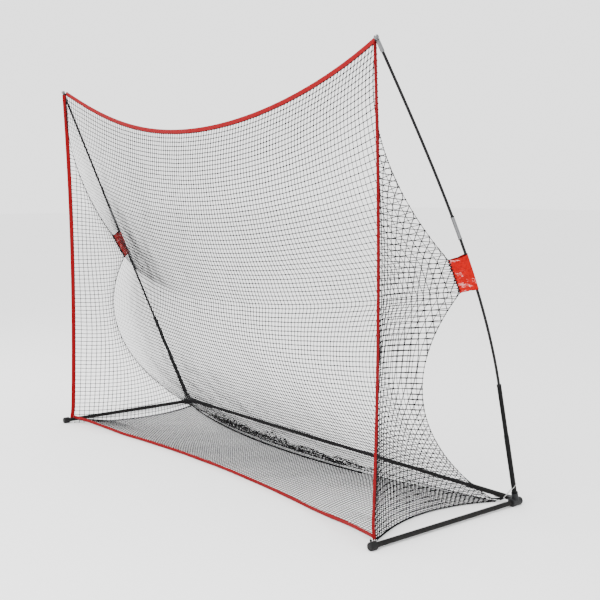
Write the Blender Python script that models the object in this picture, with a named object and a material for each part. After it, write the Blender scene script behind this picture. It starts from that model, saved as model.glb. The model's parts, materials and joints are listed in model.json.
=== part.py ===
"""Golf hitting net on two bow poles: a floor frame, two bent poles and a sack of netting.

Metres, +Z up, X across the mouth (right positive), Y from the mouth to the back.
The origin is on the floor under the middle of the whole part's box.
"""
import math

import bmesh
import bpy
from mathutils import Matrix, Vector

# --- Overall layout -------------------------------------------------------------------
HALF_WIDTH = 1.500           # from the middle to the axis of a side tube
FRAME_DEPTH = 0.905          # from the mouth's corner line to the foot of the poles
TUBE_AXIS_HEIGHT = 0.018     # side tube axis above the floor
FRONT_OVERHANG = 0.024       # nose of the front cap ahead of the corner line
REAR_OVERHANG = 0.034        # nose of the rear cap behind the pole's foot
FIT_GAP = 0.0003             # gap between pieces that touch
CUT_REACH = 0.010            # how far a drilled hole's cutter goes past the wall

# --- Side tubes, caps and corner hubs ---------------------------------------------------
SIDE_TUBE_RADIUS = 0.0115
TUBE_WALL = 0.0012
FOOT_RADIUS = 0.0190         # outer radius of caps and hubs, cut flat at the floor
CAP_GRIP = 0.030             # how far the front cap reaches over its tube
CAP_END_WALL = 0.006
CAP_ROUNDING = 0.007
EYELET_RADIUS = 0.0080
EYELET_BORE = 0.0045
EYELET_THICKNESS = 0.006
EYELET_REACH = 0.004         # the hole's centre beyond the cap's side
HUB_FRONT_REACH = 0.034      # hub body ahead of the pole's axis
HUB_REAR_REACH = 0.020       # hub body behind the pole's axis
HUB_COLLAR_LENGTH = 0.008
HUB_COLLAR_RADIUS = 0.0215
HUB_SOCKET_RADIUS = 0.0165
HUB_SOCKET_TOP = 0.052       # socket's mouth, along the pole from the tube axis
EAR_THICKNESS = 0.004
EAR_RADIUS = 0.014
EAR_PIVOT_REACH = 0.052      # hinge bolt from the side tube's axis, towards the middle
HINGE_BOLT_RADIUS = 0.003
HINGE_BOLT_HEAD_RADIUS = 0.0062
HINGE_BOLT_HEAD_HEIGHT = 0.0032
HINGE_BOLT_ROUNDING = 0.0012
REAR_CAP_FLANGE = 0.005
REAR_CAP_STEM = 0.020        # inside the end of the side tube

# --- Poles ------------------------------------------------------------------------------
POLE_FOOT_OUT = 0.0817       # how far the straight foot leans outwards up to its top
POLE_FOOT_FORWARD = 0.2184   # how far it leans forward up to its top
POLE_BEND_IN = 0.285         # how far the bent rod's tip is drawn back over the frame
POLE_BEND_FORWARD = 0.127    # how far the bent rod's tip is drawn forward
POLE_TIP_HEIGHT = 2.115      # above the side tube axis
TUBE_MOUTH_HEIGHT = 0.598    # top of the steel foot, where the rod starts to bend
FERRULE_LOW = 1.274
FERRULE_HIGH = 1.370
POLE_SLEEVE_RADIUS = 0.0120
POLE_SEAT_WALL = 0.0030      # plastic between the side tube and the foot of the pole
POLE_SLEEVE_TOP = 0.372
POLE_BUTTON_BELOW_MOUTH = 0.016
POLE_TUBE_OVERLAP = 0.110    # base tube inside its sleeve
ROD_RADIUS = 0.0065
ROD_INSERTION = 0.070        # rod inside the base tube
PLUG_DEPTH = 0.026
PLUG_FLANGE = 0.006
PLUG_LIP = 0.0006            # flange beyond the tube's outer face
PLUG_TOP_WALL = 0.0012
PLUG_BEVEL = 0.0024
FERRULE_WALL = 0.0014
TIP_FITTING_LENGTH = 0.058
TIP_FITTING_RADIUS = 0.0088
TIP_WAIST = 0.011            # waist under the knob, where the net's loop sits
TIP_WAIST_DEPTH = 0.0012
TIP_KNOB_RADIUS = 0.0110
TIP_KNOB_HEIGHT = 0.016
TIP_KNOB_ROUNDING = 0.0060
TIP_KNOB_BEVEL = 0.0020
TIP_COVER = 0.008            # rod inside the fitting ends this far below the knob

# --- Crossbar ---------------------------------------------------------------------------
CROSSBAR_RISE = 0.010        # crossbar axis above the side tube axis
CROSSBAR_RADIUS = 0.0098
CROSSBAR_SLEEVE_RADIUS = 0.0120
CROSSBAR_SLEEVE_LENGTH = 0.245
CROSSBAR_OVERLAP = 0.085     # crossbar inside its sleeve
CROSSBAR_JOINT_X = 0.410     # the two joints between the three sections
SWAGE_LENGTH = 0.060
SWAGE_TAPER = 0.005
SLEEVE_BUTTON_FROM_MOUTH = 0.030
SLEEVE_TONGUE_THICKNESS = 0.008
SLEEVE_TONGUE_HALF_WIDTH = 0.0108
SLEEVE_PLUG_LENGTH = 0.024

# --- Snap buttons -----------------------------------------------------------------------
BUTTON_RADIUS = 0.0036
BUTTON_PROUD = 0.0028
BUTTON_HOLE_CLEARANCE = 0.0004
BUTTON_DOME = 0.0012
LEAF_WIDTH = 0.0050
LEAF_LENGTH = 0.0360
LEAF_THICKNESS = 0.0008

# --- Netting ----------------------------------------------------------------------------
TWINE_SIZE = 0.0050          # the coarse lattice's strand
NET_CLEARANCE = 0.0006       # between the netting and the cord or tape beside it
NET_FLOOR_HEIGHT = 0.0042    # middle of the netting that lies on the floor
TOP_CORNER_FROM_TIP = (-0.0120, 0.0156, -0.0243)  # outwards, back, up
TOP_MIDDLE_HEIGHT = 1.7825
TOP_BOW_BACK = 0.060
FRONT_CORNER_INSET = 0.038   # from the side tube's axis
FRONT_CORNER_BACK = 0.034    # behind the mouth line
FRONT_BOW_BACK = 0.137
SIDE_BOW_BACK = 0.026
REAR_CORNER_INSET = 0.095    # from the side tube's axis
REAR_CORNER_AHEAD = 0.037    # ahead of the pole's foot
SIDE_CORD_BOW_IN = 0.1265
REAR_CORD_MIDDLE = 0.6555
LANDING_MIDDLE = 0.769       # where the back net reaches the floor
LANDING_SHARPNESS = 3
PATCH_TOP_HEIGHT = 1.207
PATCH_LENGTH = 0.155
PATCH_TOP_REACH = (-0.0375, -0.0705, -0.0237)  # from the pole to the net: outwards, back, up
PATCH_LOW_REACH = (-0.0485, -0.0554, -0.0176)
UPPER_FOLD_SAG = (0.050, 0.113)   # towards the middle and the mouth, half-way down
LOWER_FOLD_SAG = (0.050, 0.300)
HANG_POWER = 2.5             # the net drops nearly plumb, then sweeps back to the floor
FOLD_REACH_POWER = 4         # how fast the folds' pull dies away towards the middle
NET_COLUMNS = 12             # coarse meshes across the back and the floor
NET_ROWS = 12                # coarse meshes down the back and the sides
FLOOR_NET_ROWS = 4           # coarse meshes along the floor, from front to back
ROWS_ABOVE_PATCH = 5
ROWS_TO_PATCH_FOOT = 6
FIRST_SIDE_ROW = 3           # above this row the side net is gathered to nothing
CORNER_KEEP = 0.012          # netting, tapes and cords stop this far short of a corner
FOLD_KEEP = 0.020            # side netting stops this far short of the fold's cord
REAR_CORD_KEEP = 0.045       # the rear seam's cord stops this far short of its corners
COLUMNS_BESIDE_FOOT = 2      # columns at each side where the back net just meets the floor
BACK_COLUMNS = ("left", "middle", "right")  # the back net's panels
BACK_LEVELS = ("top", "low")
PANEL_GAP = 0.0006           # between neighbouring panels' strands
PANEL_CORNER_KEEP = 0.0060   # between the strands' ends at a panel's corner
FOOT_START = 0.0090          # the foot's first strand behind the landing strand

# --- Bindings, patches, cords -----------------------------------------------------------
BINDING_WIDTH = 0.020
BINDING_THICKNESS = 0.0032
SIDE_BINDING_FOOT = 0.030    # side tape's lower end above the front corner
CORD_RADIUS = 0.0022
LOOP_RADIUS = 0.0015
LOOP_TURN = 0.0030           # the loop's turn where it holds the net
LUG_LOOP_RADIUS = 0.0054     # the front loop's turn round the cap's lug
LOOP_STEPS = 18
REAR_LOOP_HEIGHT = 0.085     # elastic loop's place on the pole's foot
PATCH_SKIN = 0.0016
PATCH_FLAP_THICKNESS = 0.0030
PATCH_OPENING = 0.0029       # along the sleeve, from the flap to where its round part starts
PATCH_FLAP_START = 0.0060    # from the sleeve's round part
PATCH_STEPS = 5

# --- Faceting ---------------------------------------------------------------------------
TUBE_SIDES = 18
ROD_SIDES = 10
ROD_STEPS = 15
SMALL_SIDES = 12
CORD_SIDES = 6
ROUNDING_STEPS = 4
WELD_DISTANCE = 0.00001
SHARP_ANGLE = 35             # degrees between two faces that meet in a crisp edge

MOUTH_Y = FRONT_OVERHANG - (FRONT_OVERHANG + FRAME_DEPTH + REAR_OVERHANG) / 2
POLE_Y = MOUTH_Y + FRAME_DEPTH
CROSSBAR_HEIGHT = TUBE_AXIS_HEIGHT + CROSSBAR_RISE
SIDES = (("left", -1), ("right", 1))

COLOURS = {
    "satin_black_steel": ((0.020, 0.020, 0.022), 0.38, 0.6),
    "black_plastic": ((0.018, 0.018, 0.019), 0.55, 0.0),
    "grey_plastic": ((0.075, 0.077, 0.080), 0.50, 0.0),
    "fibreglass": ((0.030, 0.030, 0.032), 0.42, 0.0),
    "bright_steel": ((0.620, 0.630, 0.640), 0.28, 1.0),
    "black_twine": ((0.015, 0.015, 0.016), 0.90, 0.0),
    "red_binding": ((0.680, 0.012, 0.020), 0.75, 0.0),
    "red_coated_fabric": ((0.800, 0.020, 0.012), 0.35, 0.0),
    "grey_elastic": ((0.480, 0.480, 0.470), 0.80, 0.0),
}


# --- Shared helpers ---------------------------------------------------------------------
def clear_scene():
    for item in list(bpy.data.objects):
        bpy.data.objects.remove(item, do_unlink=True)


def material(name):
    found = bpy.data.materials.get(name)
    if found:
        return found
    colour, roughness, metallic = COLOURS[name]
    made = bpy.data.materials.new(name)
    made.use_nodes = True
    shader = made.node_tree.nodes["Principled BSDF"]
    shader.inputs["Base Color"].default_value = (*colour, 1.0)
    shader.inputs["Roughness"].default_value = roughness
    shader.inputs["Metallic"].default_value = metallic
    return made


def finish_mesh(mesh_data, name, finish, matrix=None):
    """Turn a bmesh into a named object with outward faces and smooth round sides."""
    bmesh.ops.remove_doubles(mesh_data, verts=mesh_data.verts, dist=1e-6)
    bmesh.ops.recalc_face_normals(mesh_data, faces=mesh_data.faces)
    mesh = bpy.data.meshes.new(name)
    mesh_data.to_mesh(mesh)
    mesh_data.free()
    mesh.shade_smooth()
    mesh.set_sharp_from_angle(angle=math.radians(SHARP_ANGLE))
    piece = bpy.data.objects.new(name, mesh)
    if matrix is not None:
        piece.matrix_world = matrix
    bpy.context.collection.objects.link(piece)
    if finish:
        mesh.materials.append(material(finish))
    return piece


def turned(name, profile, finish, matrix=None, sides=TUBE_SIDES, hollow=False):
    """Spin a profile of (radius, height) points about Z; a hollow profile is a closed ring."""
    shape = bmesh.new()
    points = [shape.verts.new((radius, 0, height)) for radius, height in profile]
    pairs = list(zip(points, points[1:]))
    if hollow:
        pairs.append((points[-1], points[0]))
    edges = [shape.edges.new(pair) for pair in pairs]
    bmesh.ops.spin(shape, geom=points + edges, cent=(0, 0, 0), axis=(0, 0, 1),
                   angle=math.tau, steps=sides, use_merge=True)
    return finish_mesh(shape, name, finish, matrix)


def tube(name, outer, inner, low, high, finish, matrix=None, sides=TUBE_SIDES):
    profile = [(inner, low), (outer, low), (outer, high), (inner, high)]
    return turned(name, profile, finish, matrix, sides, hollow=True)


def rod_profile(radius, low, high):
    return [(0, low), (radius, low), (radius, high), (0, high)]


def box(name, low, high, finish=None, matrix=None):
    shape = bmesh.new()
    size = Vector(high) - Vector(low)
    middle = (Vector(high) + Vector(low)) / 2
    bmesh.ops.create_cube(shape, size=1.0)
    bmesh.ops.scale(shape, vec=size, verts=shape.verts)
    bmesh.ops.translate(shape, vec=middle, verts=shape.verts)
    return finish_mesh(shape, name, finish, matrix)


def prism(name, outline, low, high, finish=None, matrix=None):
    """A flat outline of (x, y) points, extruded from a low to a high level."""
    shape = bmesh.new()
    corners = [shape.verts.new((x, y, low)) for x, y in outline]
    face = shape.faces.new(corners)
    grown = bmesh.ops.extrude_face_region(shape, geom=[face])
    raised = [item for item in grown["geom"] if isinstance(item, bmesh.types.BMVert)]
    bmesh.ops.translate(shape, vec=(0, 0, high - low), verts=raised)
    return finish_mesh(shape, name, finish, matrix)


def round_ended(radius, reach):
    """Outline of a strap with a round end about the origin and a square end at reach."""
    points = [(reach, -radius)]
    turns = SMALL_SIDES // 2
    for index in range(turns + 1):
        angle = -math.pi / 2 - math.pi * index / turns
        points.append((radius * math.cos(angle), radius * math.sin(angle)))
    points.append((reach, radius))
    return points


def add_boolean(piece, tool, operation):
    step = piece.modifiers.new(tool.name, "BOOLEAN")
    step.operation = operation
    step.solver = "EXACT"
    step.object = tool
    tool.hide_render = True
    tool.display_type = "WIRE"


def cut(piece, tool):
    add_boolean(piece, tool, "DIFFERENCE")


def join(piece, tool):
    add_boolean(piece, tool, "UNION")


def close_cuts():
    """Merge the tiny edges that cuts leave, on every piece that has been cut."""
    for piece in bpy.context.collection.objects:
        if any(step.type == "BOOLEAN" for step in piece.modifiers):
            weld = piece.modifiers.new("weld", "WELD")
            weld.merge_threshold = WELD_DISTANCE


def flatten_at_floor(piece, frame):
    """Cut a turned foot flat where it stands on the floor."""
    shape = bmesh.new()
    shape.from_mesh(piece.data)
    to_piece = frame.inverted()
    parts = shape.verts[:] + shape.edges[:] + shape.faces[:]
    section = bmesh.ops.bisect_plane(shape, geom=parts, plane_co=to_piece.translation,
                                     plane_no=to_piece.to_3x3() @ Vector((0, 0, -1)),
                                     clear_outer=True)
    rim = [item for item in section["geom_cut"] if isinstance(item, bmesh.types.BMEdge)]
    bmesh.ops.holes_fill(shape, edges=rim)
    bmesh.ops.recalc_face_normals(shape, faces=shape.faces)
    shape.to_mesh(piece.data)
    shape.free()
    piece.data.set_sharp_from_angle(angle=math.radians(SHARP_ANGLE))


def frame_matrix(origin, x_axis, y_axis, z_axis):
    turn = Matrix((x_axis, y_axis, z_axis)).transposed().to_4x4()
    return Matrix.Translation(origin) @ turn


def square_to(vector, axis):
    return (vector - vector.dot(axis) * axis).normalized()


def loft(name, loops, finish, hollow_loops=None):
    """Skin closed loops of points one after another, and close or wall the two ends."""
    shape = bmesh.new()
    sections = [[shape.verts.new(point) for point in points] for points in loops]
    if hollow_loops:
        inner = [[shape.verts.new(point) for point in points] for points in hollow_loops]
        sections += inner[::-1]
        sections.append(sections[0])
    else:
        shape.faces.new(sections[0])
        shape.faces.new(sections[-1])
    for first, second in zip(sections, sections[1:]):
        for i in range(len(first)):
            shape.faces.new((first[i - 1], first[i], second[i], second[i - 1]))
    return finish_mesh(shape, name, finish)


def tangents(points, closed=False):
    count = len(points)
    found = []
    for index in range(count):
        before = points[index - 1] if closed or index > 0 else points[index]
        after = points[(index + 1) % count] if closed or index < count - 1 else points[index]
        found.append((after - before).normalized())
    return found


def rings_along(points, radius, sides, reference):
    """Circles square to a path, turned so that each starts towards the reference."""
    rings = []
    for point, along in zip(points, tangents(points)):
        first = square_to(reference, along)
        second = along.cross(first)
        ring = []
        for index in range(sides):
            angle = math.tau * index / sides
            ring.append(point + radius * (math.cos(angle) * first + math.sin(angle) * second))
        rings.append(ring)
    return rings


def cord(name, points, radius, finish, closed=False, sides=CORD_SIDES):
    """A round cord along a path: a curve with a bevel and filled ends."""
    curve = bpy.data.curves.new(name, "CURVE")
    curve.dimensions = "3D"
    spline = curve.splines.new("POLY")
    spline.points.add(len(points) - 1)
    for knot, point in zip(spline.points, points):
        knot.co = (*point, 1)
    spline.use_cyclic_u = closed
    curve.bevel_depth = radius
    curve.bevel_resolution = (sides - 4) // 2
    curve.use_fill_caps = not closed
    piece = bpy.data.objects.new(name, curve)
    bpy.context.collection.objects.link(piece)
    curve.materials.append(material(finish))
    return piece


# --- Where things are -------------------------------------------------------------------
def place(side, x, y, height):
    """A point given by its distance from the middle, from the mouth line and the tube axis."""
    return Vector((side * x, MOUTH_Y + y, TUBE_AXIS_HEIGHT + height))


def pole_point(side, height):
    """Centre of a pole: straight in its steel foot, then bent like a beam pulled at its tip."""
    share = max(0.0, (height - TUBE_MOUTH_HEIGHT) / (POLE_TIP_HEIGHT - TUBE_MOUTH_HEIGHT))
    bend = (3 * share ** 2 - share ** 3) / 2
    lean = height / TUBE_MOUTH_HEIGHT
    x = HALF_WIDTH + POLE_FOOT_OUT * lean - POLE_BEND_IN * bend
    y = FRAME_DEPTH - POLE_FOOT_FORWARD * lean - POLE_BEND_FORWARD * bend
    return place(side, x, y, height)


def pole_path(side, low, high, steps):
    return [pole_point(side, low + (high - low) * i / steps) for i in range(steps + 1)]


def foot_run(side):
    """The leaning foot, from the side tube's axis up to its top."""
    return Vector((side * POLE_FOOT_OUT, -POLE_FOOT_FORWARD, TUBE_MOUTH_HEIGHT))


def foot_direction(side):
    return foot_run(side).normalized()


def pole_seat():
    """Lower end of the pole's sleeve, along the pole from the side tube's axis."""
    lean = foot_direction(1)
    dip = POLE_SLEEVE_RADIUS * math.sqrt(1 - lean.z ** 2)
    return (SIDE_TUBE_RADIUS + POLE_SEAT_WALL + dip) / lean.z


def foot_frame(side):
    """Frame of the straight foot: Z up the pole, X away from the middle."""
    up = foot_direction(side)
    out = square_to(Vector((side, 0, 0)), up)
    return frame_matrix(pole_point(side, 0), out, up.cross(out), up)


def side_tube_frame(side):
    """Frame of a side tube: Z from the mouth line to the back, X away from the middle."""
    back = Vector((0, 1, 0))
    out = Vector((side, 0, 0))
    return frame_matrix(place(side, HALF_WIDTH, 0, 0), out, back.cross(out), back)


def crossbar_frame(side):
    """Frame of one half of the crossbar: Z from the middle outwards, X up."""
    out = Vector((side, 0, 0))
    up = Vector((0, 0, 1))
    origin = Vector((0, POLE_Y, CROSSBAR_HEIGHT))
    return frame_matrix(origin, up, out.cross(up), out)


def top_edge(share):
    """Top edge of the back net, from -1 at the left corner to 1 at the right."""
    corner = pole_point(1, POLE_TIP_HEIGHT) + Vector(TOP_CORNER_FROM_TIP)
    middle = TUBE_AXIS_HEIGHT + TOP_MIDDLE_HEIGHT
    bow = TOP_BOW_BACK * (share ** 2 - share ** 4)
    height = middle + (corner.z - middle) * share ** 2
    return Vector((corner.x * share, corner.y + bow, height))


def front_corner(side):
    point = place(side, HALF_WIDTH - FRONT_CORNER_INSET, FRONT_CORNER_BACK, 0)
    point.z = NET_FLOOR_HEIGHT
    return point


def rear_corner(side):
    point = place(side, HALF_WIDTH - REAR_CORNER_INSET, FRAME_DEPTH - REAR_CORNER_AHEAD, 0)
    point.z = NET_FLOOR_HEIGHT
    return point


def side_edge(side, share):
    """Front edge of a side net, from the top corner to the floor."""
    point = top_edge(side).lerp(front_corner(side), share)
    point.y += SIDE_BOW_BACK * 4 * share * (1 - share)
    return point


def front_edge(share):
    """Front edge of the floor net, from -1 at the left corner to 1 at the right."""
    point = front_corner(-1).lerp(front_corner(1), (share + 1) / 2)
    point.y += FRONT_BOW_BACK * (1 - share ** 2)
    return point


def side_cord_line(side, share):
    """Seam of side net and floor net, from the front corner to the rear corner."""
    point = front_corner(side).lerp(rear_corner(side), share)
    point.x -= side * SIDE_CORD_BOW_IN * 4 * share * (1 - share)
    return point


def rear_line(middle, power, share):
    corner = rear_corner(1)
    start = MOUTH_Y + middle
    y = start + (corner.y - start) * abs(share) ** power
    return Vector((corner.x * share, y, NET_FLOOR_HEIGHT))


def rear_cord_line(share):
    """Seam of back net and floor net."""
    return rear_line(REAR_CORD_MIDDLE, 2, share)


def landing_line(share):
    """Where the hanging back net meets the floor."""
    return rear_line(LANDING_MIDDLE, LANDING_SHARPNESS, share)


def sagged(start, end, sag, side, share):
    point = start.lerp(end, share)
    pull = Vector((side * sag[0], sag[1], 0))
    return point - pull * 4 * share * (1 - share)


def patch_low_height():
    return PATCH_TOP_HEIGHT - PATCH_LENGTH


def patch_edge(side, height, reach):
    """Where the patch round the pole meets the net."""
    return pole_point(side, height) + Vector((side * reach[0], reach[1], reach[2]))


def patch_top(side):
    return patch_edge(side, PATCH_TOP_HEIGHT, PATCH_TOP_REACH)


def patch_foot(side):
    return patch_edge(side, patch_low_height(), PATCH_LOW_REACH)


def fold_line(side, share):
    """Seam of side net and back net: top corner, patch, rear corner."""
    high = patch_top(side)
    low = patch_foot(side)
    patch_start = ROWS_ABOVE_PATCH / NET_ROWS
    patch_end = ROWS_TO_PATCH_FOOT / NET_ROWS
    if share <= patch_start:
        part = share / patch_start
        return sagged(top_edge(side), high, UPPER_FOLD_SAG, side, part)
    if share <= patch_end:
        part = (share - patch_start) / (patch_end - patch_start)
        return high.lerp(low, part)
    part = (share - patch_end) / (1 - patch_end)
    return sagged(low, rear_corner(side), LOWER_FOLD_SAG, side, part)


def blended(top, bottom, left, right):
    """A surface through four edges that meet at the corners."""
    corners = (top(0), top(1), bottom(0), bottom(1))

    def surface(across, down):
        by_rows = top(across).lerp(bottom(across), down)
        by_columns = left(down).lerp(right(down), across)
        plain = corners[0].lerp(corners[1], across).lerp(
            corners[2].lerp(corners[3], across), down)
        return by_rows + by_columns - plain

    return surface


def hang_line(side, share):
    """How the back net would hang at a side if no fold pulled it."""
    point = top_edge(side).lerp(rear_corner(side), share)
    start = top_edge(side).y
    point.y = start + (rear_corner(side).y - start) * share ** HANG_POWER
    return point


def back_surface():
    hanging = blended(lambda across: top_edge(2 * across - 1),
                      lambda across: landing_line(2 * across - 1),
                      lambda down: hang_line(-1, down),
                      lambda down: hang_line(1, down))

    def surface(across, down):
        point = hanging(across, down)
        for side, nearness in ((-1, 1 - across), (1, across)):
            pull = fold_line(side, down) - hang_line(side, down)
            point += pull * nearness ** FOLD_REACH_POWER
        return point

    return surface


def side_surface(side):
    corner = top_edge(side)
    return blended(lambda across: corner.copy(),
                   lambda across: side_cord_line(side, across),
                   lambda down: side_edge(side, down),
                   lambda down: fold_line(side, down))


def floor_surface():
    return blended(lambda across: front_edge(2 * across - 1),
                   lambda across: rear_cord_line(2 * across - 1),
                   lambda down: side_cord_line(-1, down),
                   lambda down: side_cord_line(1, down))


# --- Floor frame ------------------------------------------------------------------------
def add_side_tube(label, side):
    front = CAP_END_WALL - FRONT_OVERHANG + FIT_GAP
    back = FRAME_DEPTH + HUB_REAR_REACH
    inner = SIDE_TUBE_RADIUS - TUBE_WALL
    tube("side_tube_" + label, SIDE_TUBE_RADIUS, inner, front, back,
         "satin_black_steel", side_tube_frame(side))


def rounded_foot(radius, nose, rounding):
    """Profile points of a rounded lower end, from the axis out to the full radius."""
    points = [(0, nose)]
    for index in range(ROUNDING_STEPS + 1):
        angle = math.pi / 2 * index / ROUNDING_STEPS
        points.append((radius - rounding + rounding * math.sin(angle),
                       nose + rounding - rounding * math.cos(angle)))
    return points


def rounded_head(radius, top, rounding):
    """Profile points of a rounded upper end, from the full radius in to the axis."""
    return [(x, -height) for x, height in rounded_foot(radius, -top, rounding)][::-1]


def eyelet_centre(side):
    """Hole of the lug that holds the net's front corner."""
    reach = FOOT_RADIUS + EYELET_REACH
    mouth = CAP_END_WALL + CAP_GRIP - FRONT_OVERHANG
    return place(side, HALF_WIDTH - reach, mouth - EYELET_RADIUS, 0)


def add_front_cap(label, side):
    nose = -FRONT_OVERHANG
    bore = SIDE_TUBE_RADIUS + FIT_GAP
    mouth = nose + CAP_END_WALL + CAP_GRIP
    profile = rounded_foot(FOOT_RADIUS, nose, CAP_ROUNDING)
    profile += [(FOOT_RADIUS, mouth), (bore, mouth), (bore, nose + CAP_END_WALL),
                (0, nose + CAP_END_WALL)]
    cap = turned("front_cap_" + label, profile, "black_plastic", side_tube_frame(side))
    flatten_at_floor(cap, side_tube_frame(side))
    frame = Matrix.Translation(eyelet_centre(side))
    half = EYELET_THICKNESS / 2
    lug = turned(cap.name + "_lug", rod_profile(EYELET_RADIUS, -half, half), None,
                 frame, SMALL_SIDES)
    through = half + CUT_REACH
    hole = turned(cap.name + "_eyelet_cut", rod_profile(EYELET_BORE, -through, through),
                  None, frame, SMALL_SIDES)
    join(cap, lug)
    cut(cap, hole)


def hub_ear_gap():
    """Clear height between the two ears that hold the crossbar sleeve's tongue."""
    return SLEEVE_TONGUE_THICKNESS + 2 * FIT_GAP


def pivot_frame(side):
    """Frame of the vertical bolt on which a crossbar sleeve folds."""
    origin = Vector((side * (HALF_WIDTH - EAR_PIVOT_REACH), POLE_Y, CROSSBAR_HEIGHT))
    out = Vector((side, 0, 0))
    up = Vector((0, 0, 1))
    return frame_matrix(origin, out, up.cross(out), up)


def bolt_cutter(name, side):
    """Hole for the hinge bolt, right through the ears."""
    reach = hub_ear_gap() / 2 + EAR_THICKNESS + CUT_REACH
    profile = rod_profile(HINGE_BOLT_RADIUS + FIT_GAP, -reach, reach)
    return turned(name + "_bolt_cut", profile, None, pivot_frame(side), SMALL_SIDES)


def add_corner_hub(label, side):
    """Plastic corner: a sleeve on the side tube, a socket for the pole and two ears."""
    name = "corner_hub_" + label
    low = FRAME_DEPTH - HUB_FRONT_REACH
    high = FRAME_DEPTH + HUB_REAR_REACH
    collar = low + HUB_COLLAR_LENGTH
    profile = [(0, low), (HUB_COLLAR_RADIUS, low), (HUB_COLLAR_RADIUS, collar),
               (FOOT_RADIUS, collar), (FOOT_RADIUS, high), (0, high)]
    hub = turned(name, profile, "grey_plastic", side_tube_frame(side))
    flatten_at_floor(hub, side_tube_frame(side))
    socket = turned(name + "_socket", rod_profile(HUB_SOCKET_RADIUS, 0, HUB_SOCKET_TOP),
                    None, foot_frame(side))
    join(hub, socket)
    thick = hub_ear_gap() / 2 + EAR_THICKNESS
    arm = prism(name + "_arm", round_ended(EAR_RADIUS, EAR_PIVOT_REACH), -thick, thick,
                None, pivot_frame(side))
    join(hub, arm)
    half_gap = hub_ear_gap() / 2
    clear = EAR_RADIUS + FIT_GAP
    slot = box(name + "_slot", (-3 * clear, -2 * clear, -half_gap),
               (clear, 2 * clear, half_gap), None, pivot_frame(side))
    cut(hub, slot)
    cut(hub, bolt_cutter(name, side))
    bore = turned(name + "_bore",
                  rod_profile(SIDE_TUBE_RADIUS + FIT_GAP, low - CUT_REACH, high + CUT_REACH),
                  None, side_tube_frame(side))
    cut(hub, bore)
    pocket = turned(name + "_pocket",
                    rod_profile(POLE_SLEEVE_RADIUS + FIT_GAP, pole_seat() - FIT_GAP,
                                HUB_SOCKET_TOP + CUT_REACH), None, foot_frame(side))
    cut(hub, pocket)


def add_rear_cap(label, side):
    """Rounded plug behind the hub, with a stem in the end of the side tube."""
    face = FRAME_DEPTH + HUB_REAR_REACH + FIT_GAP
    nose = FRAME_DEPTH + REAR_OVERHANG
    stem = SIDE_TUBE_RADIUS - TUBE_WALL - FIT_GAP
    rounding = min(CAP_ROUNDING, nose - face - REAR_CAP_FLANGE)
    inside = face - REAR_CAP_STEM
    profile = [(0, inside), (stem, inside), (stem, face), (FOOT_RADIUS, face)]
    profile += rounded_head(FOOT_RADIUS, nose, rounding)
    cap = turned("rear_cap_" + label, profile, "black_plastic", side_tube_frame(side))
    flatten_at_floor(cap, side_tube_frame(side))


# --- Poles ------------------------------------------------------------------------------
def base_tube_radius():
    return POLE_SLEEVE_RADIUS - TUBE_WALL - FIT_GAP


def pole_button_height():
    return POLE_SLEEVE_TOP - POLE_BUTTON_BELOW_MOUTH


def button_matrix(frame, height, towards):
    """Frame of a snap button: Z out of the tube, X along the tube."""
    matrix = frame @ Matrix.Translation((0, 0, height))
    turn = Matrix(((0, 0, towards), (0, 1, 0), (-towards, 0, 0))).to_4x4()
    return matrix @ turn


def button_cutter(name, matrix, outer_radius):
    """Hole for a snap button, from the tube's axis out through its wall."""
    radius = BUTTON_RADIUS + BUTTON_HOLE_CLEARANCE
    profile = rod_profile(radius, 0, outer_radius + CUT_REACH)
    return turned(name + "_hole_cut", profile, None, matrix, SMALL_SIDES)


def add_snap_button(name, matrix, outer_radius, bore_radius):
    """A spring button: a domed pin on a leaf that lies inside the inner tube."""
    half_leaf = LEAF_WIDTH / 2
    leaf_top = math.sqrt((bore_radius - FIT_GAP) ** 2 - half_leaf ** 2)
    root = leaf_top - LEAF_THICKNESS / 2
    profile = [(0, root), (BUTTON_RADIUS, root)]
    profile += rounded_head(BUTTON_RADIUS, outer_radius + BUTTON_PROUD, BUTTON_DOME)
    button = turned(name, profile, "bright_steel", matrix, SMALL_SIDES)
    leaf = box(name + "_leaf", (-LEAF_LENGTH / 2, -half_leaf, leaf_top - LEAF_THICKNESS),
               (LEAF_LENGTH / 2, half_leaf, leaf_top), None, matrix)
    join(button, leaf)


def add_pole_foot(label, side):
    frame = foot_frame(side)
    sleeve = tube("pole_sleeve_" + label, POLE_SLEEVE_RADIUS, POLE_SLEEVE_RADIUS - TUBE_WALL,
                  pole_seat(), POLE_SLEEVE_TOP, "satin_black_steel", frame)
    radius = base_tube_radius()
    low = POLE_SLEEVE_TOP - POLE_TUBE_OVERLAP
    mouth = foot_run(side).length
    base = tube("pole_base_tube_" + label, radius, radius - TUBE_WALL, low, mouth,
                "satin_black_steel", frame)
    matrix = button_matrix(frame, pole_button_height(), -1)
    name = "pole_button_" + label
    hole = button_cutter(name, matrix, POLE_SLEEVE_RADIUS)
    cut(sleeve, hole)
    cut(base, hole)
    add_snap_button(name, matrix, POLE_SLEEVE_RADIUS, radius - TUBE_WALL)
    bore = ROD_RADIUS + FIT_GAP
    stem = radius - TUBE_WALL - FIT_GAP
    seat = mouth + FIT_GAP
    flange = radius + PLUG_LIP
    profile = [(bore, seat - PLUG_DEPTH), (stem, seat - PLUG_DEPTH), (stem, seat),
               (flange, seat), (flange, seat + PLUG_FLANGE - PLUG_BEVEL),
               (bore + PLUG_TOP_WALL, seat + PLUG_FLANGE), (bore, seat + PLUG_FLANGE)]
    turned("tube_plug_" + label, profile, "black_plastic", frame, SMALL_SIDES, hollow=True)


def bent_rod(name, side, low, high, finish):
    path = pole_path(side, low, high, ROD_STEPS)
    rings = rings_along(path, ROD_RADIUS, ROD_SIDES, Vector((side, 0, 0)))
    return loft(name, rings, finish)


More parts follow.
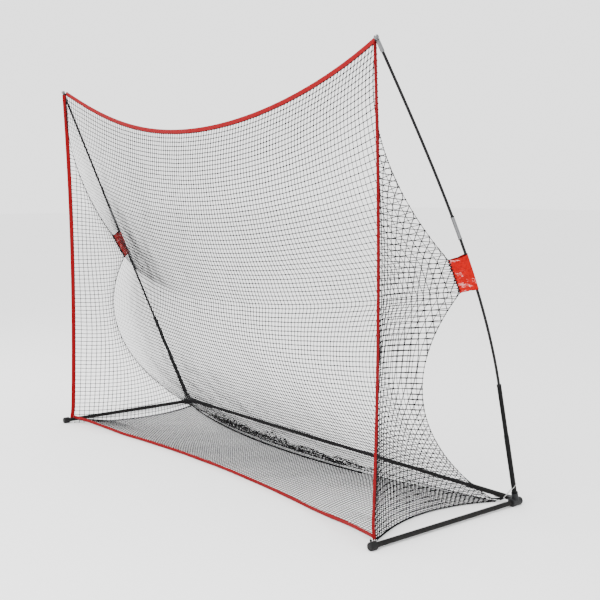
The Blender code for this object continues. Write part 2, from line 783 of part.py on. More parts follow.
def ferrule_middle():
    return (FERRULE_LOW + FERRULE_HIGH) / 2


def tip_direction(side):
    below = pole_point(side, POLE_TIP_HEIGHT - TIP_FITTING_LENGTH)
    return (pole_point(side, POLE_TIP_HEIGHT) - below).normalized()


def height_below_tip(distance):
    """Height at which the pole's centre is a distance from its tip."""
    return POLE_TIP_HEIGHT - distance * tip_direction(1).z


def add_bent_rods(label, side):
    start = TUBE_MOUTH_HEIGHT - ROD_INSERTION
    bent_rod("lower_rod_" + label, side, start, ferrule_middle() - FIT_GAP, "fibreglass")
    top = height_below_tip(TIP_KNOB_HEIGHT + TIP_COVER + FIT_GAP)
    bent_rod("upper_rod_" + label, side, ferrule_middle() + FIT_GAP, top, "fibreglass")
    path = pole_path(side, FERRULE_LOW, FERRULE_HIGH, 2)
    reference = Vector((side, 0, 0))
    bore = ROD_RADIUS + FIT_GAP
    outer = rings_along(path, bore + FERRULE_WALL, SMALL_SIDES, reference)
    inner = rings_along(path, bore, SMALL_SIDES, reference)
    loft("ferrule_" + label, outer, "bright_steel", inner)


def tip_frame(side):
    """Frame of the end fitting: Z along the pole, from the fitting's open end."""
    up = tip_direction(side)
    low = pole_point(side, POLE_TIP_HEIGHT) - up * (TIP_FITTING_LENGTH + TIP_KNOB_HEIGHT)
    out = square_to(Vector((side, 0, 0)), up)
    return frame_matrix(low, out, up.cross(out), up)


def add_pole_tip(label, side):
    """Metal end fitting over the rod, with a waist for the net's loop under its knob."""
    bore = ROD_RADIUS + FIT_GAP
    body = TIP_FITTING_RADIUS
    waist = body - TIP_WAIST_DEPTH
    length = TIP_FITTING_LENGTH
    floor = length - TIP_COVER
    profile = [(0, floor), (bore, floor), (bore, 0), (body, 0),
               (body, length - TIP_WAIST - TIP_WAIST_DEPTH), (waist, length - TIP_WAIST),
               (waist, length), (TIP_KNOB_RADIUS - TIP_KNOB_BEVEL, length),
               (TIP_KNOB_RADIUS, length + TIP_KNOB_BEVEL)]
    profile += rounded_head(TIP_KNOB_RADIUS, length + TIP_KNOB_HEIGHT, TIP_KNOB_ROUNDING)
    turned("pole_tip_" + label, profile, "bright_steel", tip_frame(side), SMALL_SIDES)


# --- Crossbar ---------------------------------------------------------------------------
def sleeve_outer_end():
    """Outer end of a crossbar sleeve's round part, measured from the middle."""
    return HALF_WIDTH - EAR_PIVOT_REACH - EAR_RADIUS - FIT_GAP


def sleeve_mouth():
    return sleeve_outer_end() - CROSSBAR_SLEEVE_LENGTH


def crossbar_bore():
    return CROSSBAR_RADIUS - TUBE_WALL


def sleeve_button_matrix(side):
    reach = sleeve_mouth() + SLEEVE_BUTTON_FROM_MOUTH
    return button_matrix(crossbar_frame(side), reach, 1)


def add_crossbar_sleeve(label, side):
    """Steel sleeve that takes the crossbar's end, with a flat tongue between the ears."""
    frame = crossbar_frame(side)
    bore = CROSSBAR_RADIUS + FIT_GAP
    outer = sleeve_outer_end()
    solid = outer - SLEEVE_PLUG_LENGTH
    profile = [(0, solid), (bore, solid), (bore, sleeve_mouth()),
               (CROSSBAR_SLEEVE_RADIUS, sleeve_mouth()), (CROSSBAR_SLEEVE_RADIUS, outer),
               (0, outer)]
    sleeve = turned("crossbar_sleeve_" + label, profile, "satin_black_steel", frame)
    half = SLEEVE_TONGUE_THICKNESS / 2
    reach = EAR_RADIUS + FIT_GAP + SLEEVE_PLUG_LENGTH / 2
    outline = [(-x, y) for x, y in round_ended(SLEEVE_TONGUE_HALF_WIDTH, reach)]
    tongue = prism(sleeve.name + "_tongue", outline, -half, half, None, pivot_frame(side))
    join(sleeve, tongue)
    cut(sleeve, bolt_cutter(sleeve.name, side))
    matrix = sleeve_button_matrix(side)
    cut(sleeve, button_cutter(sleeve.name, matrix, CROSSBAR_SLEEVE_RADIUS))
    add_snap_button("sleeve_button_" + label, matrix, CROSSBAR_SLEEVE_RADIUS, crossbar_bore())


def add_hinge_bolt(label, side):
    """Vertical bolt through the hub's ears and the sleeve's tongue."""
    reach = hub_ear_gap() / 2 + EAR_THICKNESS + FIT_GAP
    head = reach + HINGE_BOLT_HEAD_HEIGHT
    wide = HINGE_BOLT_HEAD_RADIUS
    profile = rounded_foot(wide, -head, HINGE_BOLT_ROUNDING)
    profile += [(wide, -reach), (HINGE_BOLT_RADIUS, -reach), (HINGE_BOLT_RADIUS, reach),
                (wide, reach)]
    profile += rounded_head(wide, head, HINGE_BOLT_ROUNDING)
    turned("hinge_bolt_" + label, profile, "bright_steel", pivot_frame(side), SMALL_SIDES)


def swage_radius():
    return crossbar_bore() - FIT_GAP


def add_crossbar():
    """Three sections of round tube; the middle one's ends are drawn in to fit the others."""
    outer = sleeve_mouth() + CROSSBAR_OVERLAP
    joint = CROSSBAR_JOINT_X
    middle = add_crossbar_middle(joint, joint + SWAGE_LENGTH)
    for label, side in SIDES:
        frame = crossbar_frame(side)
        section = tube("crossbar_" + label, CROSSBAR_RADIUS, crossbar_bore(),
                       joint + FIT_GAP, outer, "satin_black_steel", frame)
        cut(section, button_cutter(section.name, sleeve_button_matrix(side), CROSSBAR_RADIUS))
        matrix = button_matrix(frame, joint + SWAGE_LENGTH / 2, 1)
        name = "crossbar_button_" + label
        hole = button_cutter(name, matrix, CROSSBAR_RADIUS)
        cut(section, hole)
        cut(middle, hole)
        add_snap_button(name, matrix, CROSSBAR_RADIUS, swage_radius() - TUBE_WALL)


def add_crossbar_middle(joint, swage_end):
    half = [(CROSSBAR_RADIUS, joint - SWAGE_TAPER), (swage_radius(), joint),
            (swage_radius(), swage_end)]
    bore = [(radius - TUBE_WALL, reach) for radius, reach in half]
    right = half + bore[::-1]
    left = [(radius, -reach) for radius, reach in right[::-1]]
    return turned("crossbar_middle", right + left, "satin_black_steel", crossbar_frame(1),
                  hollow=True)


# --- Netting ----------------------------------------------------------------------------
def net_lattice(name, rows):
    """Square-meshed netting: a grid of points, rows first, as a lattice of strands."""
    shape = bmesh.new()
    grid = [[shape.verts.new(point) for point in row] for row in rows]
    for upper, lower in zip(grid, grid[1:]):
        for i in range(len(upper) - 1):
            shape.faces.new((upper[i], upper[i + 1], lower[i + 1], lower[i]))
    piece = finish_mesh(shape, name, "black_twine")
    strands = piece.modifiers.new("strands", "WIREFRAME")
    strands.thickness = TWINE_SIZE
    strands.offset = 0
    strands.use_boundary = True
    strands.use_even_offset = True
    strands.use_replace = True


def moved_off(line, inner, distance):
    """Move a line of points towards its inner neighbours, square to the line."""
    found = []
    for point, neighbour, along in zip(line, inner, tangents(line)):
        found.append(point + square_to(neighbour - point, along) * distance)
    return found


def corner_moved(corner, row_neighbour, column_neighbour, from_row, from_column, keep):
    """Move a corner clear of the two lines that meet there, however sharp the corner."""
    along_row = (row_neighbour - corner).normalized()
    along_column = (column_neighbour - corner).normalized()
    spread = along_row.cross(along_column).length
    inwards = (along_row * from_column + along_column * from_row) / spread
    return corner + inwards + inwards.normalized() * keep


def pulled_in(rows, distances, keep):
    """Move a grid's outer lines inwards by a distance: top, bottom, left, right."""
    top, bottom, left, right = distances
    moved = [list(row) for row in rows]
    moved[0] = moved_off(rows[0], rows[1], top)
    moved[-1] = moved_off(rows[-1], rows[-2], bottom)
    columns = list(zip(*rows))
    left_line = moved_off(columns[0], columns[1], left)
    right_line = moved_off(columns[-1], columns[-2], right)
    for j in range(1, len(rows) - 1):
        moved[j][0] = left_line[j]
        moved[j][-1] = right_line[j]
    for j, inner_j, from_row in ((0, 1, top), (-1, -2, bottom)):
        for i, inner_i, from_column in ((0, 1, left), (-1, -2, right)):
            moved[j][i] = corner_moved(rows[j][i], rows[j][inner_i], rows[inner_j][i],
                                       from_row, from_column, keep)
    return moved


def shares(count):
    return [index / count for index in range(count + 1)]


def surface_rows(surface, across, down, first=0):
    return [[surface(i, j) for i in shares(across)] for j in shares(down)[first:]]


def beside_cord():
    return CORD_RADIUS + NET_CLEARANCE + TWINE_SIZE / 2


def beside_binding():
    return NET_CLEARANCE + TWINE_SIZE / 2


def add_back_panels(rows):
    """The hanging net as panels whose neighbouring strands lie side by side."""
    beside = (TWINE_SIZE + PANEL_GAP) / 2
    across = len(BACK_COLUMNS)
    down = len(BACK_LEVELS)
    columns = [round(share * NET_COLUMNS) for share in shares(across)]
    levels = [round(share * NET_ROWS) for share in shares(down)]
    for j, level in enumerate(BACK_LEVELS):
        for i, column in enumerate(BACK_COLUMNS):
            panel = [row[columns[i]:columns[i + 1] + 1]
                     for row in rows[levels[j]:levels[j + 1] + 1]]
            inner = (beside * (j > 0), beside * (j < down - 1), beside * (i > 0),
                     beside * (i < across - 1))
            net_lattice("net_back_" + level + "_" + column,
                        pulled_in(panel, inner, PANEL_CORNER_KEEP))


def add_back_net():
    """The hanging net, and its foot that lies on the floor up to the rear seam."""
    seam = beside_cord()
    rows = surface_rows(back_surface(), NET_COLUMNS, NET_ROWS)
    rows = pulled_in(rows, (beside_binding(), 0, seam, seam), CORNER_KEEP)
    add_back_panels(rows)
    line = [rear_cord_line(2 * share - 1) for share in shares(NET_COLUMNS)]
    line = moved_off(line, rows[-1], seam)
    start = moved_off(rows[-1], line, FOOT_START)
    beside = COLUMNS_BESIDE_FOOT
    net_lattice("net_back_foot", [row[beside:-beside] for row in (start, line)])


def add_nets():
    seam = beside_cord()
    edge = beside_binding()
    add_back_net()
    for label, side in SIDES:
        rows = surface_rows(side_surface(side), FLOOR_NET_ROWS, NET_ROWS, FIRST_SIDE_ROW)
        rows = pulled_in(rows, (0, seam, edge, FOLD_KEEP), CORNER_KEEP)
        net_lattice("net_side_" + label, rows)
    rows = surface_rows(floor_surface(), NET_COLUMNS, FLOOR_NET_ROWS)
    net_lattice("net_floor", pulled_in(rows, (edge, seam, seam, seam), CORNER_KEEP))


# --- Bindings, patches and cords --------------------------------------------------------
def trimmed(points, first, last):
    """A path whose two ends stop short, on the same straight runs."""
    short = list(points)
    short[0] = points[0] + (points[1] - points[0]).normalized() * first
    short[-1] = points[-1] + (points[-2] - points[-1]).normalized() * last
    return short


def binding(name, points, outwards):
    """Flat tape along a net's edge: the tape's inner side lies on the edge."""
    loops = []
    for point, along in zip(points, tangents(points)):
        out = square_to(outwards, along)
        flat = along.cross(out)
        half = flat * BINDING_THICKNESS / 2
        far = out * BINDING_WIDTH
        loops.append([point - half, point + far - half, point + far + half, point + half])
    return loft(name, loops, "red_binding")


def add_bindings():
    columns = [2 * share - 1 for share in shares(NET_COLUMNS)]
    binding("binding_top", [top_edge(share) for share in columns], Vector((0, 0, 1)))
    front = [front_edge(share) for share in columns]
    front = trimmed(front, CORNER_KEEP, CORNER_KEEP)
    binding("binding_front", front, Vector((0, -1, 0)))
    for label, side in SIDES:
        edge = [side_edge(side, share) for share in shares(NET_ROWS)]
        edge = trimmed(edge, CORNER_KEEP, SIDE_BINDING_FOOT)
        binding("binding_side_" + label, edge, Vector((0, -1, 0)))


def add_seam_cords():
    """The rear seam's cord, and at each side one down the fold and along the floor."""
    rear = [rear_cord_line(2 * share - 1) for share in shares(NET_COLUMNS)]
    rear = trimmed(rear, REAR_CORD_KEEP, REAR_CORD_KEEP)
    cord("rear_seam_cord", rear, CORD_RADIUS, "black_twine")
    for label, side in SIDES:
        fold = [fold_line(side, share) for share in shares(NET_ROWS)[1:]]
        floor = [side_cord_line(side, share) for share in shares(FLOOR_NET_ROWS)]
        line = trimmed(fold + floor[-2::-1], CORNER_KEEP, CORNER_KEEP)
        cord("side_seam_cord_" + label, line, CORD_RADIUS, "black_twine")


def patch_loop(pole, along, edge, radius):
    """Outline of a patch: round the pole, then a flat flap to the net."""
    across = square_to(edge - pole, along)
    flat = along.cross(across)
    half = PATCH_FLAP_THICKNESS / 2
    start = math.asin(half / radius) + PATCH_OPENING / radius
    points = []
    turns = SMALL_SIDES - 2
    for index in range(turns + 1):
        angle = start + (math.tau - 2 * start) * index / turns
        points.append(pole + radius * (math.cos(angle) * across + math.sin(angle) * flat))
    towards = (edge - pole).normalized()
    far = edge - towards * (CORD_RADIUS + NET_CLEARANCE)
    near = pole + towards * (radius + PATCH_FLAP_START)
    points += [near - half * flat, far - half * flat, far + half * flat, near + half * flat]
    return points


def add_patch(label, side):
    """Coated-fabric sleeve on the pole that holds the middle of the fold out."""
    name = "pole_patch_" + label
    high = PATCH_TOP_HEIGHT
    low = patch_low_height()
    path = pole_path(side, low, high, PATCH_STEPS)
    along = tangents(path)
    upper_edge = patch_top(side)
    lower_edge = patch_foot(side)
    radius = ROD_RADIUS + FIT_GAP + PATCH_SKIN
    loops = []
    for index, pole in enumerate(path):
        edge = lower_edge.lerp(upper_edge, index / PATCH_STEPS)
        loops.append(patch_loop(pole, along[index], edge, radius))
    patch = loft(name, loops, "red_coated_fabric")
    reach = (high - low) / PATCH_STEPS
    bore_path = pole_path(side, low - reach, high + reach, PATCH_STEPS + 2)
    rings = rings_along(bore_path, ROD_RADIUS + FIT_GAP, SMALL_SIDES, Vector((side, 0, 0)))
    cut(patch, loft(name + "_bore", rings, None))


def post_loop(post, far, along, radius):
    """A loop drawn tight from round a post to a far point, where it turns back."""
    out = (far - post).normalized()
    across = along.cross(out)
    slant = 1 / across.length
    across.normalize()
    end = far - out * LOOP_TURN
    leaves = (radius - LOOP_TURN) / (end - post).length
    points = []
    for index in range(LOOP_STEPS):
        angle = math.tau * (index + 0.5) / LOOP_STEPS
        run = math.cos(angle)
        rise = math.sin(angle)
        if run > leaves:
            points.append(end + LOOP_TURN * (run * out + rise * across))
        else:
            points.append(post + radius * (run * slant * out + rise * across))
    return points


def add_corner_loops(label, side):
    """Elastic loops that hold the net's top, front and rear corners to the frame."""
    clear = LOOP_RADIUS + NET_CLEARANCE
    up = tip_direction(side)
    waist = pole_point(side, POLE_TIP_HEIGHT) - up * (TIP_KNOB_HEIGHT + TIP_WAIST / 2)
    along = (top_edge(side) - top_edge(side * (1 - 1 / NET_COLUMNS))).normalized()
    across = square_to(Vector((0, 0, 1)), along)
    end = top_edge(side) + across * BINDING_WIDTH / 2 + along * clear
    radius = TIP_FITTING_RADIUS - TIP_WAIST_DEPTH + clear
    cord("top_loop_" + label, post_loop(waist, end, up, radius), LOOP_RADIUS,
         "black_twine", closed=True)
    rim = (EYELET_RADIUS + EYELET_BORE) / 2
    end = front_corner(side) - Vector((side * CORNER_KEEP, BINDING_WIDTH / 2, 0))
    end.x += side * clear
    run = square_to(end - eyelet_centre(side), Vector((0, 0, 1)))
    lug = eyelet_centre(side) + run * rim
    flat = run.cross(Vector((0, 0, 1)))
    cord("front_loop_" + label, post_loop(lug, end, flat, LUG_LOOP_RADIUS),
         LOOP_RADIUS, "black_twine", closed=True)
    up = foot_direction(side)
    post = pole_point(side, 0) + up * REAR_LOOP_HEIGHT
    end = rear_corner(side) + Vector((side * (CORD_RADIUS + clear), 0, 0))
    cord("rear_loop_" + label, post_loop(post, end, up, POLE_SLEEVE_RADIUS + clear),
         LOOP_RADIUS, "grey_elastic", closed=True)


def build():
    clear_scene()
    for label, side in SIDES:
        add_side_tube(label, side)
        add_front_cap(label, side)
        add_corner_hub(label, side)
        add_rear_cap(label, side)
        add_pole_foot(label, side)
        add_bent_rods(label, side)
        add_pole_tip(label, side)
        add_crossbar_sleeve(label, side)
        add_hinge_bolt(label, side)
        add_patch(label, side)
        add_corner_loops(label, side)
    add_crossbar()
    add_nets()
    add_bindings()
    add_seam_cords()
    close_cuts()


build()
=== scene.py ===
"""Golf hitting net: netting, tapes, patches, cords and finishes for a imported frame.

Metres, +Z up, X across the mouth (right positive), Y from the mouth to the back.
"""

import json
import math

import bmesh
import bpy
from mathutils import Matrix, Vector, noise


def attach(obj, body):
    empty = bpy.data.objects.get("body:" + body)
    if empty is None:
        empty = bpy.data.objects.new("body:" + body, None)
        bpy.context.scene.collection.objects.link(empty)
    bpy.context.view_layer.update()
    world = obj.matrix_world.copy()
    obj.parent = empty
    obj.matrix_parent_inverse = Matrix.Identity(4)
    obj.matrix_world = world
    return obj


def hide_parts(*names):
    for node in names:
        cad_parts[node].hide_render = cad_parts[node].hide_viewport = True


bl_info = {
    "name": "Golf net dressing",
    "version": (1, 0, 0),
    "blender": (4, 5, 0),
    "location": "3D View > Sidebar > Golf net",
    "description": "Netting, tapes, patches, cords, finishes and studio for a golf net",
    "category": "Add Mesh",
}

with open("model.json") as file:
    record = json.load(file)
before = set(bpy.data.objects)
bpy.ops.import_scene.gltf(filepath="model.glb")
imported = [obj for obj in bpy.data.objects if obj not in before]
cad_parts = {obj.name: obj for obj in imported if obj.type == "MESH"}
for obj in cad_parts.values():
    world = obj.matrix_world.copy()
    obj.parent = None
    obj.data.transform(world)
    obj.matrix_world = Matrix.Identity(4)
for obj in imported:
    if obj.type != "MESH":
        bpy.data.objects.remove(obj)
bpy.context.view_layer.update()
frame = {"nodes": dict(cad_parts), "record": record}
BODY = "frame"
SIDES = (("left", -1), ("right", 1))

# --- Where the frame's lines are ---------------------------------------
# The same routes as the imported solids, but here a fold pulls a wider band of the back net.
MOUTH_Y = -0.4575
TUBE_AXIS_HEIGHT = 0.018
POLE_HALF_WIDTH = 1.500
FRAME_DEPTH = 0.905
POLE_FOOT_RUN = (0.0817, -0.2184)
POLE_BEND = (0.285, 0.127)
POLE_TIP_HEIGHT = 2.115
TUBE_MOUTH_HEIGHT = 0.598
ROD_RADIUS = 0.0065
POLE_SLEEVE_RADIUS = 0.0120
TIP_FITTING_LENGTH = 0.058
TIP_WAIST_BELOW = 0.0215
TIP_WAIST_RADIUS = 0.0076
FERRULE_LOW = 1.274
FERRULE_HIGH = 1.370
FERRULE_RADIUS = 0.0082
REAR_LOOP_HEIGHT = 0.085
EYELET = (1.477, 0.004)
EYELET_RIM = 0.00625
LUG_LOOP_RADIUS = 0.0054
NET_FLOOR_HEIGHT = 0.0042
TOP_CORNER_FROM_TIP = (-0.0120, 0.0156, -0.0243)
TOP_MIDDLE_HEIGHT = 1.7825
TOP_BOW_BACK = 0.060
FRONT_CORNER = (1.462, 0.034)
FRONT_BOW_BACK = 0.137
SIDE_BOW_BACK = 0.026
REAR_CORNER = (1.405, 0.868)
SIDE_CORD_BOW_IN = 0.1265
REAR_CORD_MIDDLE = 0.6555
LANDING_MIDDLE = 0.769
LANDING_SHARPNESS = 3
PATCH_TOP_HEIGHT = 1.207
PATCH_LOW_HEIGHT = 1.052
PATCH_TOP_REACH = (-0.0375, -0.0705, -0.0237)
PATCH_LOW_REACH = (-0.0485, -0.0554, -0.0176)
UPPER_FOLD_SAG = (0.050, 0.113)
LOWER_FOLD_SAG = (0.050, 0.300)
BACK_PANELS = [f"net_back_{level}_{column}" for level in ("top", "low")
               for column in ("left", "middle", "right")]
PATCH_START = 5 / 12
PATCH_END = 6 / 12
HANG_POWER = 2.5
FOLD_REACH_POWER = 3  # how quickly a fold's pull dies away across the back net

# --- How the netting, tapes and cords lie on those lines ---------------
FOLD_SPREAD = 1.1  # how much wider the meshes open at the folds
FOLD_SPREAD_REACH = 0.06  # share of the net's width over which they do
FOLD_THINNING = (0.62, 0.15)  # how much thinner the strands are drawn at the two folds
FOLD_THIN_REACH = 0.14
FOOT_THINNING = 0.45  # how much thinner they are where the net reaches the floor
BACK_SHIFT = 0.0016  # how far the back net's strands stray sideways
SIDE_BULGE = 0.05  # how far a side net sags inwards, as a share of its width
FLOOR_RIPPLE = 0.0012  # how far the floor net's strands rise off the ground
FLOOR_SHIFT = 0.004  # how far they stray along it
MERGE_DISTANCE = 0.0012  # crossings of strands nearer than this become one
KNOT_BATCH = 100  # knots made at a time
KNOT_TURN = (1.3, 40.0)  # a knot's turn, and how much it varies
SIDE_KNOT_SHARE = 0.85  # sizes of knots and strands, as shares of the back net's
FLOOR_TWINE_SHARE = 0.75
FOOT_TWINE_SHARE = 0.66
FOOT_LAYERS = (  # the slack foot's folds: left, right, front, back, rows, rise
    (-0.97, 0.97, 0.00, 1.00, 3, 0.004),
    (-0.74, 0.50, 0.00, 0.40, 5, 0.022),
    (-0.66, 0.32, 0.00, 0.34, 6, 0.034),
    (-0.58, 0.42, 0.00, 0.44, 5, 0.042))
FOOT_CLEARANCE = 0.0015  # least height of the slack foot over the floor net
FOOT_SHIFT = (0.016, 0.014)  # how far its strands stray sideways and backwards
TAPE_STEPS = 260  # steps along the top and front tapes
SIDE_TAPE_STEPS = 200
TAPE_ROWS = 5
FRONT_TAPE_OUT = (0, -0.4, 1)  # the way the front tape stands
FRONT_TAPE_LIFT = 0.027  # how far the front tape's ends stand above the floor
FRONT_LIFT_START = 0.60  # share of the front edge where the tape leaves the floor
SIDE_TAPE_TURN = 0.34  # how far a side tape turns outwards as it runs forwards
SIDE_TAPE_FLARE = 0.016  # how far a side tape's foot swings out
SIDE_FLARE_START = 0.94  # share of the side edge where it starts to
SIDE_FLARE_RISE = 0.8  # how far the foot rises, as a share of the front tape's lift
SIDE_TAPE_END = 0.996  # share of the side edge where the tape ends
TAPE_PUCKER = 0.0010  # how far a tape's stitches pull it about
TAPE_CROWN = 0.0006  # how far its middle stands out
LINE_STEP = 0.002  # share of a line over which its direction is taken
COIL_POINTS = 14  # points in one turn of a wound twine
LOOP_POINTS = 64  # points round a tie
RING_POINTS = 40  # points round a ferrule's ring
LACING_SLACK = 0.35  # how far a lacing wanders, as a share of its radius
LACING_WANDER = 0.021  # length over which it does
FLOOR_LACING_TURNS = 96
REAR_LACING_TURNS = 180
REAR_ROPE_RUN = (1.94, -0.97)  # length and left end, -1 to 1 being corner to corner
REAR_LACING_RUN = (1.36, -0.92)
WHIPPING_TURNS = 6
WHIPPING_RADIUS = 0.0042
LOOP_TURN = 0.0025  # radius in which a cord tie turns back at the net
FRONT_TIE_END = (-0.006, -0.010, 0.026)  # from the net's front corner: out, back, up
REAR_KNOT = (0.045, 0.007, 0.026)  # from its rear corner
REAR_GATHER = ((-1.0, 0.0), (-0.4, 0.8), (0.3, 0.3), (1.0, 0.9))  # strands: back, up
GATHER_REACH = (0.035, 0.030, 0.012)  # how far they start from that corner: in, back, up
GATHER_SAG = 0.006
CORD_FLOOR = 0.0012  # lowest middle of a cord that lies on the ground
PATCH_SKIN = 0.0022  # cloth's middle beyond the rod's surface
PATCH_COLUMNS = 90
PATCH_ROWS = 60
PATCH_LACING_TURNS = 11
PATCH_GAP = 0.0012  # how far the flaps stand off their middle
PATCH_CREASE = 0.0050  # how high their creases are
PATCH_SAG = 0.004  # how far the flaps' edges bow in

# --- Finishes, floor, lights and camera --------------------------------
BLACK_MOULDING = ((0.005, 0.005, 0.0055), 0.46)  # colour, roughness
GREY_MOULDING = ((0.014, 0.0145, 0.0155), 0.42)
ELASTIC_GREY = (0.40, 0.40, 0.39)
DUST = (0.32, 0.30, 0.27)
STUDIO_FLOOR_REACH = 60.0
FILL_SHARE = 0.35  # the fill light's power, as a share of the key light's
CAMERA_PLACE = (4.5492, -3.1421, 1.4983)
CAMERA_TURN = ((0.6533, -0.0375, 0.7562), (0.7571, 0.0324, -0.6525), (0.0, 0.9988, 0.0495))
CAMERA_LENS = 59.34  # millimetres, on a sensor 36 mm wide
CAMERA_SHIFT = (-0.1063, -0.1000)


def place(side, x, y, height):
    """A point given by its distance from the middle, from the mouth line and the tube axis."""
    return Vector((side * x, MOUTH_Y + y, TUBE_AXIS_HEIGHT + height))


def pole_point(side, height):
    """Centre of a pole: straight in its foot, then bent like a beam pulled at its tip."""
    share = max(0.0, (height - TUBE_MOUTH_HEIGHT) / (POLE_TIP_HEIGHT - TUBE_MOUTH_HEIGHT))
    bend = (3 * share ** 2 - share ** 3) / 2
    lean = height / TUBE_MOUTH_HEIGHT
    return place(side, POLE_HALF_WIDTH + POLE_FOOT_RUN[0] * lean - POLE_BEND[0] * bend,
                 FRAME_DEPTH + POLE_FOOT_RUN[1] * lean - POLE_BEND[1] * bend, height)


def pole_direction(side, height):
    step = 0.01
    return (pole_point(side, height + step) - pole_point(side, height - step)).normalized()


def tip_direction(side):
    below = pole_point(side, POLE_TIP_HEIGHT - TIP_FITTING_LENGTH)
    return (pole_point(side, POLE_TIP_HEIGHT) - below).normalized()


def from_left(line):
    """A line that runs from -1 to 1, as a rule for shares from 0 at the left to 1."""
    return lambda share: line(2 * share - 1)


def top_edge(share):
    """Top edge of the back net, from -1 at the left corner to 1 at the right."""
    corner = pole_point(1, POLE_TIP_HEIGHT) + Vector(TOP_CORNER_FROM_TIP)
    middle = TUBE_AXIS_HEIGHT + TOP_MIDDLE_HEIGHT
    bow = TOP_BOW_BACK * (share ** 2 - share ** 4)
    height = middle + (corner.z - middle) * share ** 2
    return Vector((corner.x * share, corner.y + bow, height))


def front_corner(side):
    return Vector((side * FRONT_CORNER[0], MOUTH_Y + FRONT_CORNER[1], NET_FLOOR_HEIGHT))


def rear_corner(side):
    return Vector((side * REAR_CORNER[0], MOUTH_Y + REAR_CORNER[1], NET_FLOOR_HEIGHT))


def side_edge(side, share):
    """Front edge of a side net, from the top corner to the floor."""
    point = top_edge(side).lerp(front_corner(side), share)
    point.y += SIDE_BOW_BACK * 4 * share * (1 - share)
    return point


def front_edge(share):
    """Front edge of the floor net, from -1 at the left corner to 1 at the right."""
    point = front_corner(-1).lerp(front_corner(1), (share + 1) / 2)
    point.y += FRONT_BOW_BACK * (1 - share ** 2)
    return point


def side_cord_line(side, share):
    """Seam of side net and floor net, from the front corner to the rear corner."""
    point = front_corner(side).lerp(rear_corner(side), share)
    point.x -= side * SIDE_CORD_BOW_IN * 4 * share * (1 - share)
    return point


def rear_line(middle, power, share):
    y = MOUTH_Y + middle + (REAR_CORNER[1] - middle) * abs(share) ** power
    return Vector((REAR_CORNER[0] * share, y, NET_FLOOR_HEIGHT))


def rear_cord_line(share):
    """Seam of back net and floor net."""
    return rear_line(REAR_CORD_MIDDLE, 2, share)


def landing_line(share):
    """Where the hanging back net meets the floor."""
    return rear_line(LANDING_MIDDLE, LANDING_SHARPNESS, share)


def sagged(start, end, sag, side, share):
    pull = Vector((side * sag[0], sag[1], 0))
    return start.lerp(end, share) - pull * 4 * share * (1 - share)


def patch_edge(side, down):
    """Where the patch round the pole meets the net, from its top to its foot."""
    ends = []
    for height, reach in ((PATCH_TOP_HEIGHT, PATCH_TOP_REACH),
                          (PATCH_LOW_HEIGHT, PATCH_LOW_REACH)):
        ends.append(pole_point(side, height) + Vector((side * reach[0], reach[1], reach[2])))
    return ends[0].lerp(ends[1], down)


def fold_line(side, share):
    """Fold of side net and back net: top corner, patch, rear corner."""
    high = patch_edge(side, 0)
    low = patch_edge(side, 1)
    if share <= PATCH_START:
        return sagged(top_edge(side), high, UPPER_FOLD_SAG, side, share / PATCH_START)
    if share <= PATCH_END:
        return high.lerp(low, (share - PATCH_START) / (PATCH_END - PATCH_START))
    part = (share - PATCH_END) / (1 - PATCH_END)
    return sagged(low, rear_corner(side), LOWER_FOLD_SAG, side, part)


def hang_line(side, share):
    """How the back net would hang at a side if no fold pulled it."""
    point = top_edge(side).lerp(rear_corner(side), share)
    start = top_edge(side).y
    point.y = start + (rear_corner(side).y - start) * share ** HANG_POWER
    return point


def blended(top, bottom, left, right, across, down):
    """A point of the surface through four edges that meet at the corners."""
    by_rows = top(across).lerp(bottom(across), down)
    by_columns = left(down).lerp(right(down), across)
    plain = top(0).lerp(top(1), across).lerp(bottom(0).lerp(bottom(1), across), down)
    return by_rows + by_columns - plain


def back_point(across, down):
    """A point of the hanging back net: across 0 to 1 from the left, down 0 to 1."""
    point = blended(from_left(top_edge), from_left(landing_line),
                    lambda s: hang_line(-1, s), lambda s: hang_line(1, s), across, down)
    for side, nearness in ((-1, 1 - across), (1, across)):
        pull = fold_line(side, down) - hang_line(side, down)
        point += pull * nearness ** FOLD_REACH_POWER
    return point


def floor_point(across, down):
    """A point of the floor net, from the front tape to the rear seam."""
    return blended(from_left(front_edge), from_left(rear_cord_line),
                   lambda s: side_cord_line(-1, s), lambda s: side_cord_line(1, s),
                   across, down)


def ripple(point, wavelength, seed):
    """Smooth wandering between about -1 and 1."""
    return noise.noise(point / wavelength + Vector((seed, 0, 0)))


# --- Sizes and colours that a user would change ------------------------
def length_property(name, description, default, low, high):
    return bpy.props.FloatProperty(name=name, description=description, default=default,
                                   min=low, max=high, unit="LENGTH")


def colour_property(name, description, default):
    return bpy.props.FloatVectorProperty(name=name, description=description,
                                         subtype="COLOR", default=default, min=0, max=1)


class NettingSizes(bpy.types.PropertyGroup):
    """Sizes of the netting, its tapes and its cords."""
    pitch: length_property(
        "Mesh pitch", "Side of one square mesh of the net", 0.025, 0.015, 0.1)
    twine: length_property(
        "Twine", "Thickness of one strand of the net", 0.0038, 0.0005, 0.006)
    knot: length_property(
        "Knot", "Size of the knot at each crossing of two strands", 0.0048, 0.001, 0.01)
    ripple: length_property(
        "Ripple", "How far the hanging net strays from a smooth sheet", 0.006, 0.0, 0.03)
    tape_width: length_property(
        "Tape width", "Width of the tape sewn round the net's edge", 0.023, 0.01, 0.05)
    tape_thickness: length_property(
        "Tape thickness", "Thickness of the folded tape", 0.0018, 0.0005, 0.005)
    loop: length_property(
        "Loop cord", "Thickness of the cords that hold the net's corners",
        0.0028, 0.001, 0.006)
    rope: length_property(
        "Seam cord", "Thickness of the cords along the net's seams", 0.0030, 0.001, 0.006)


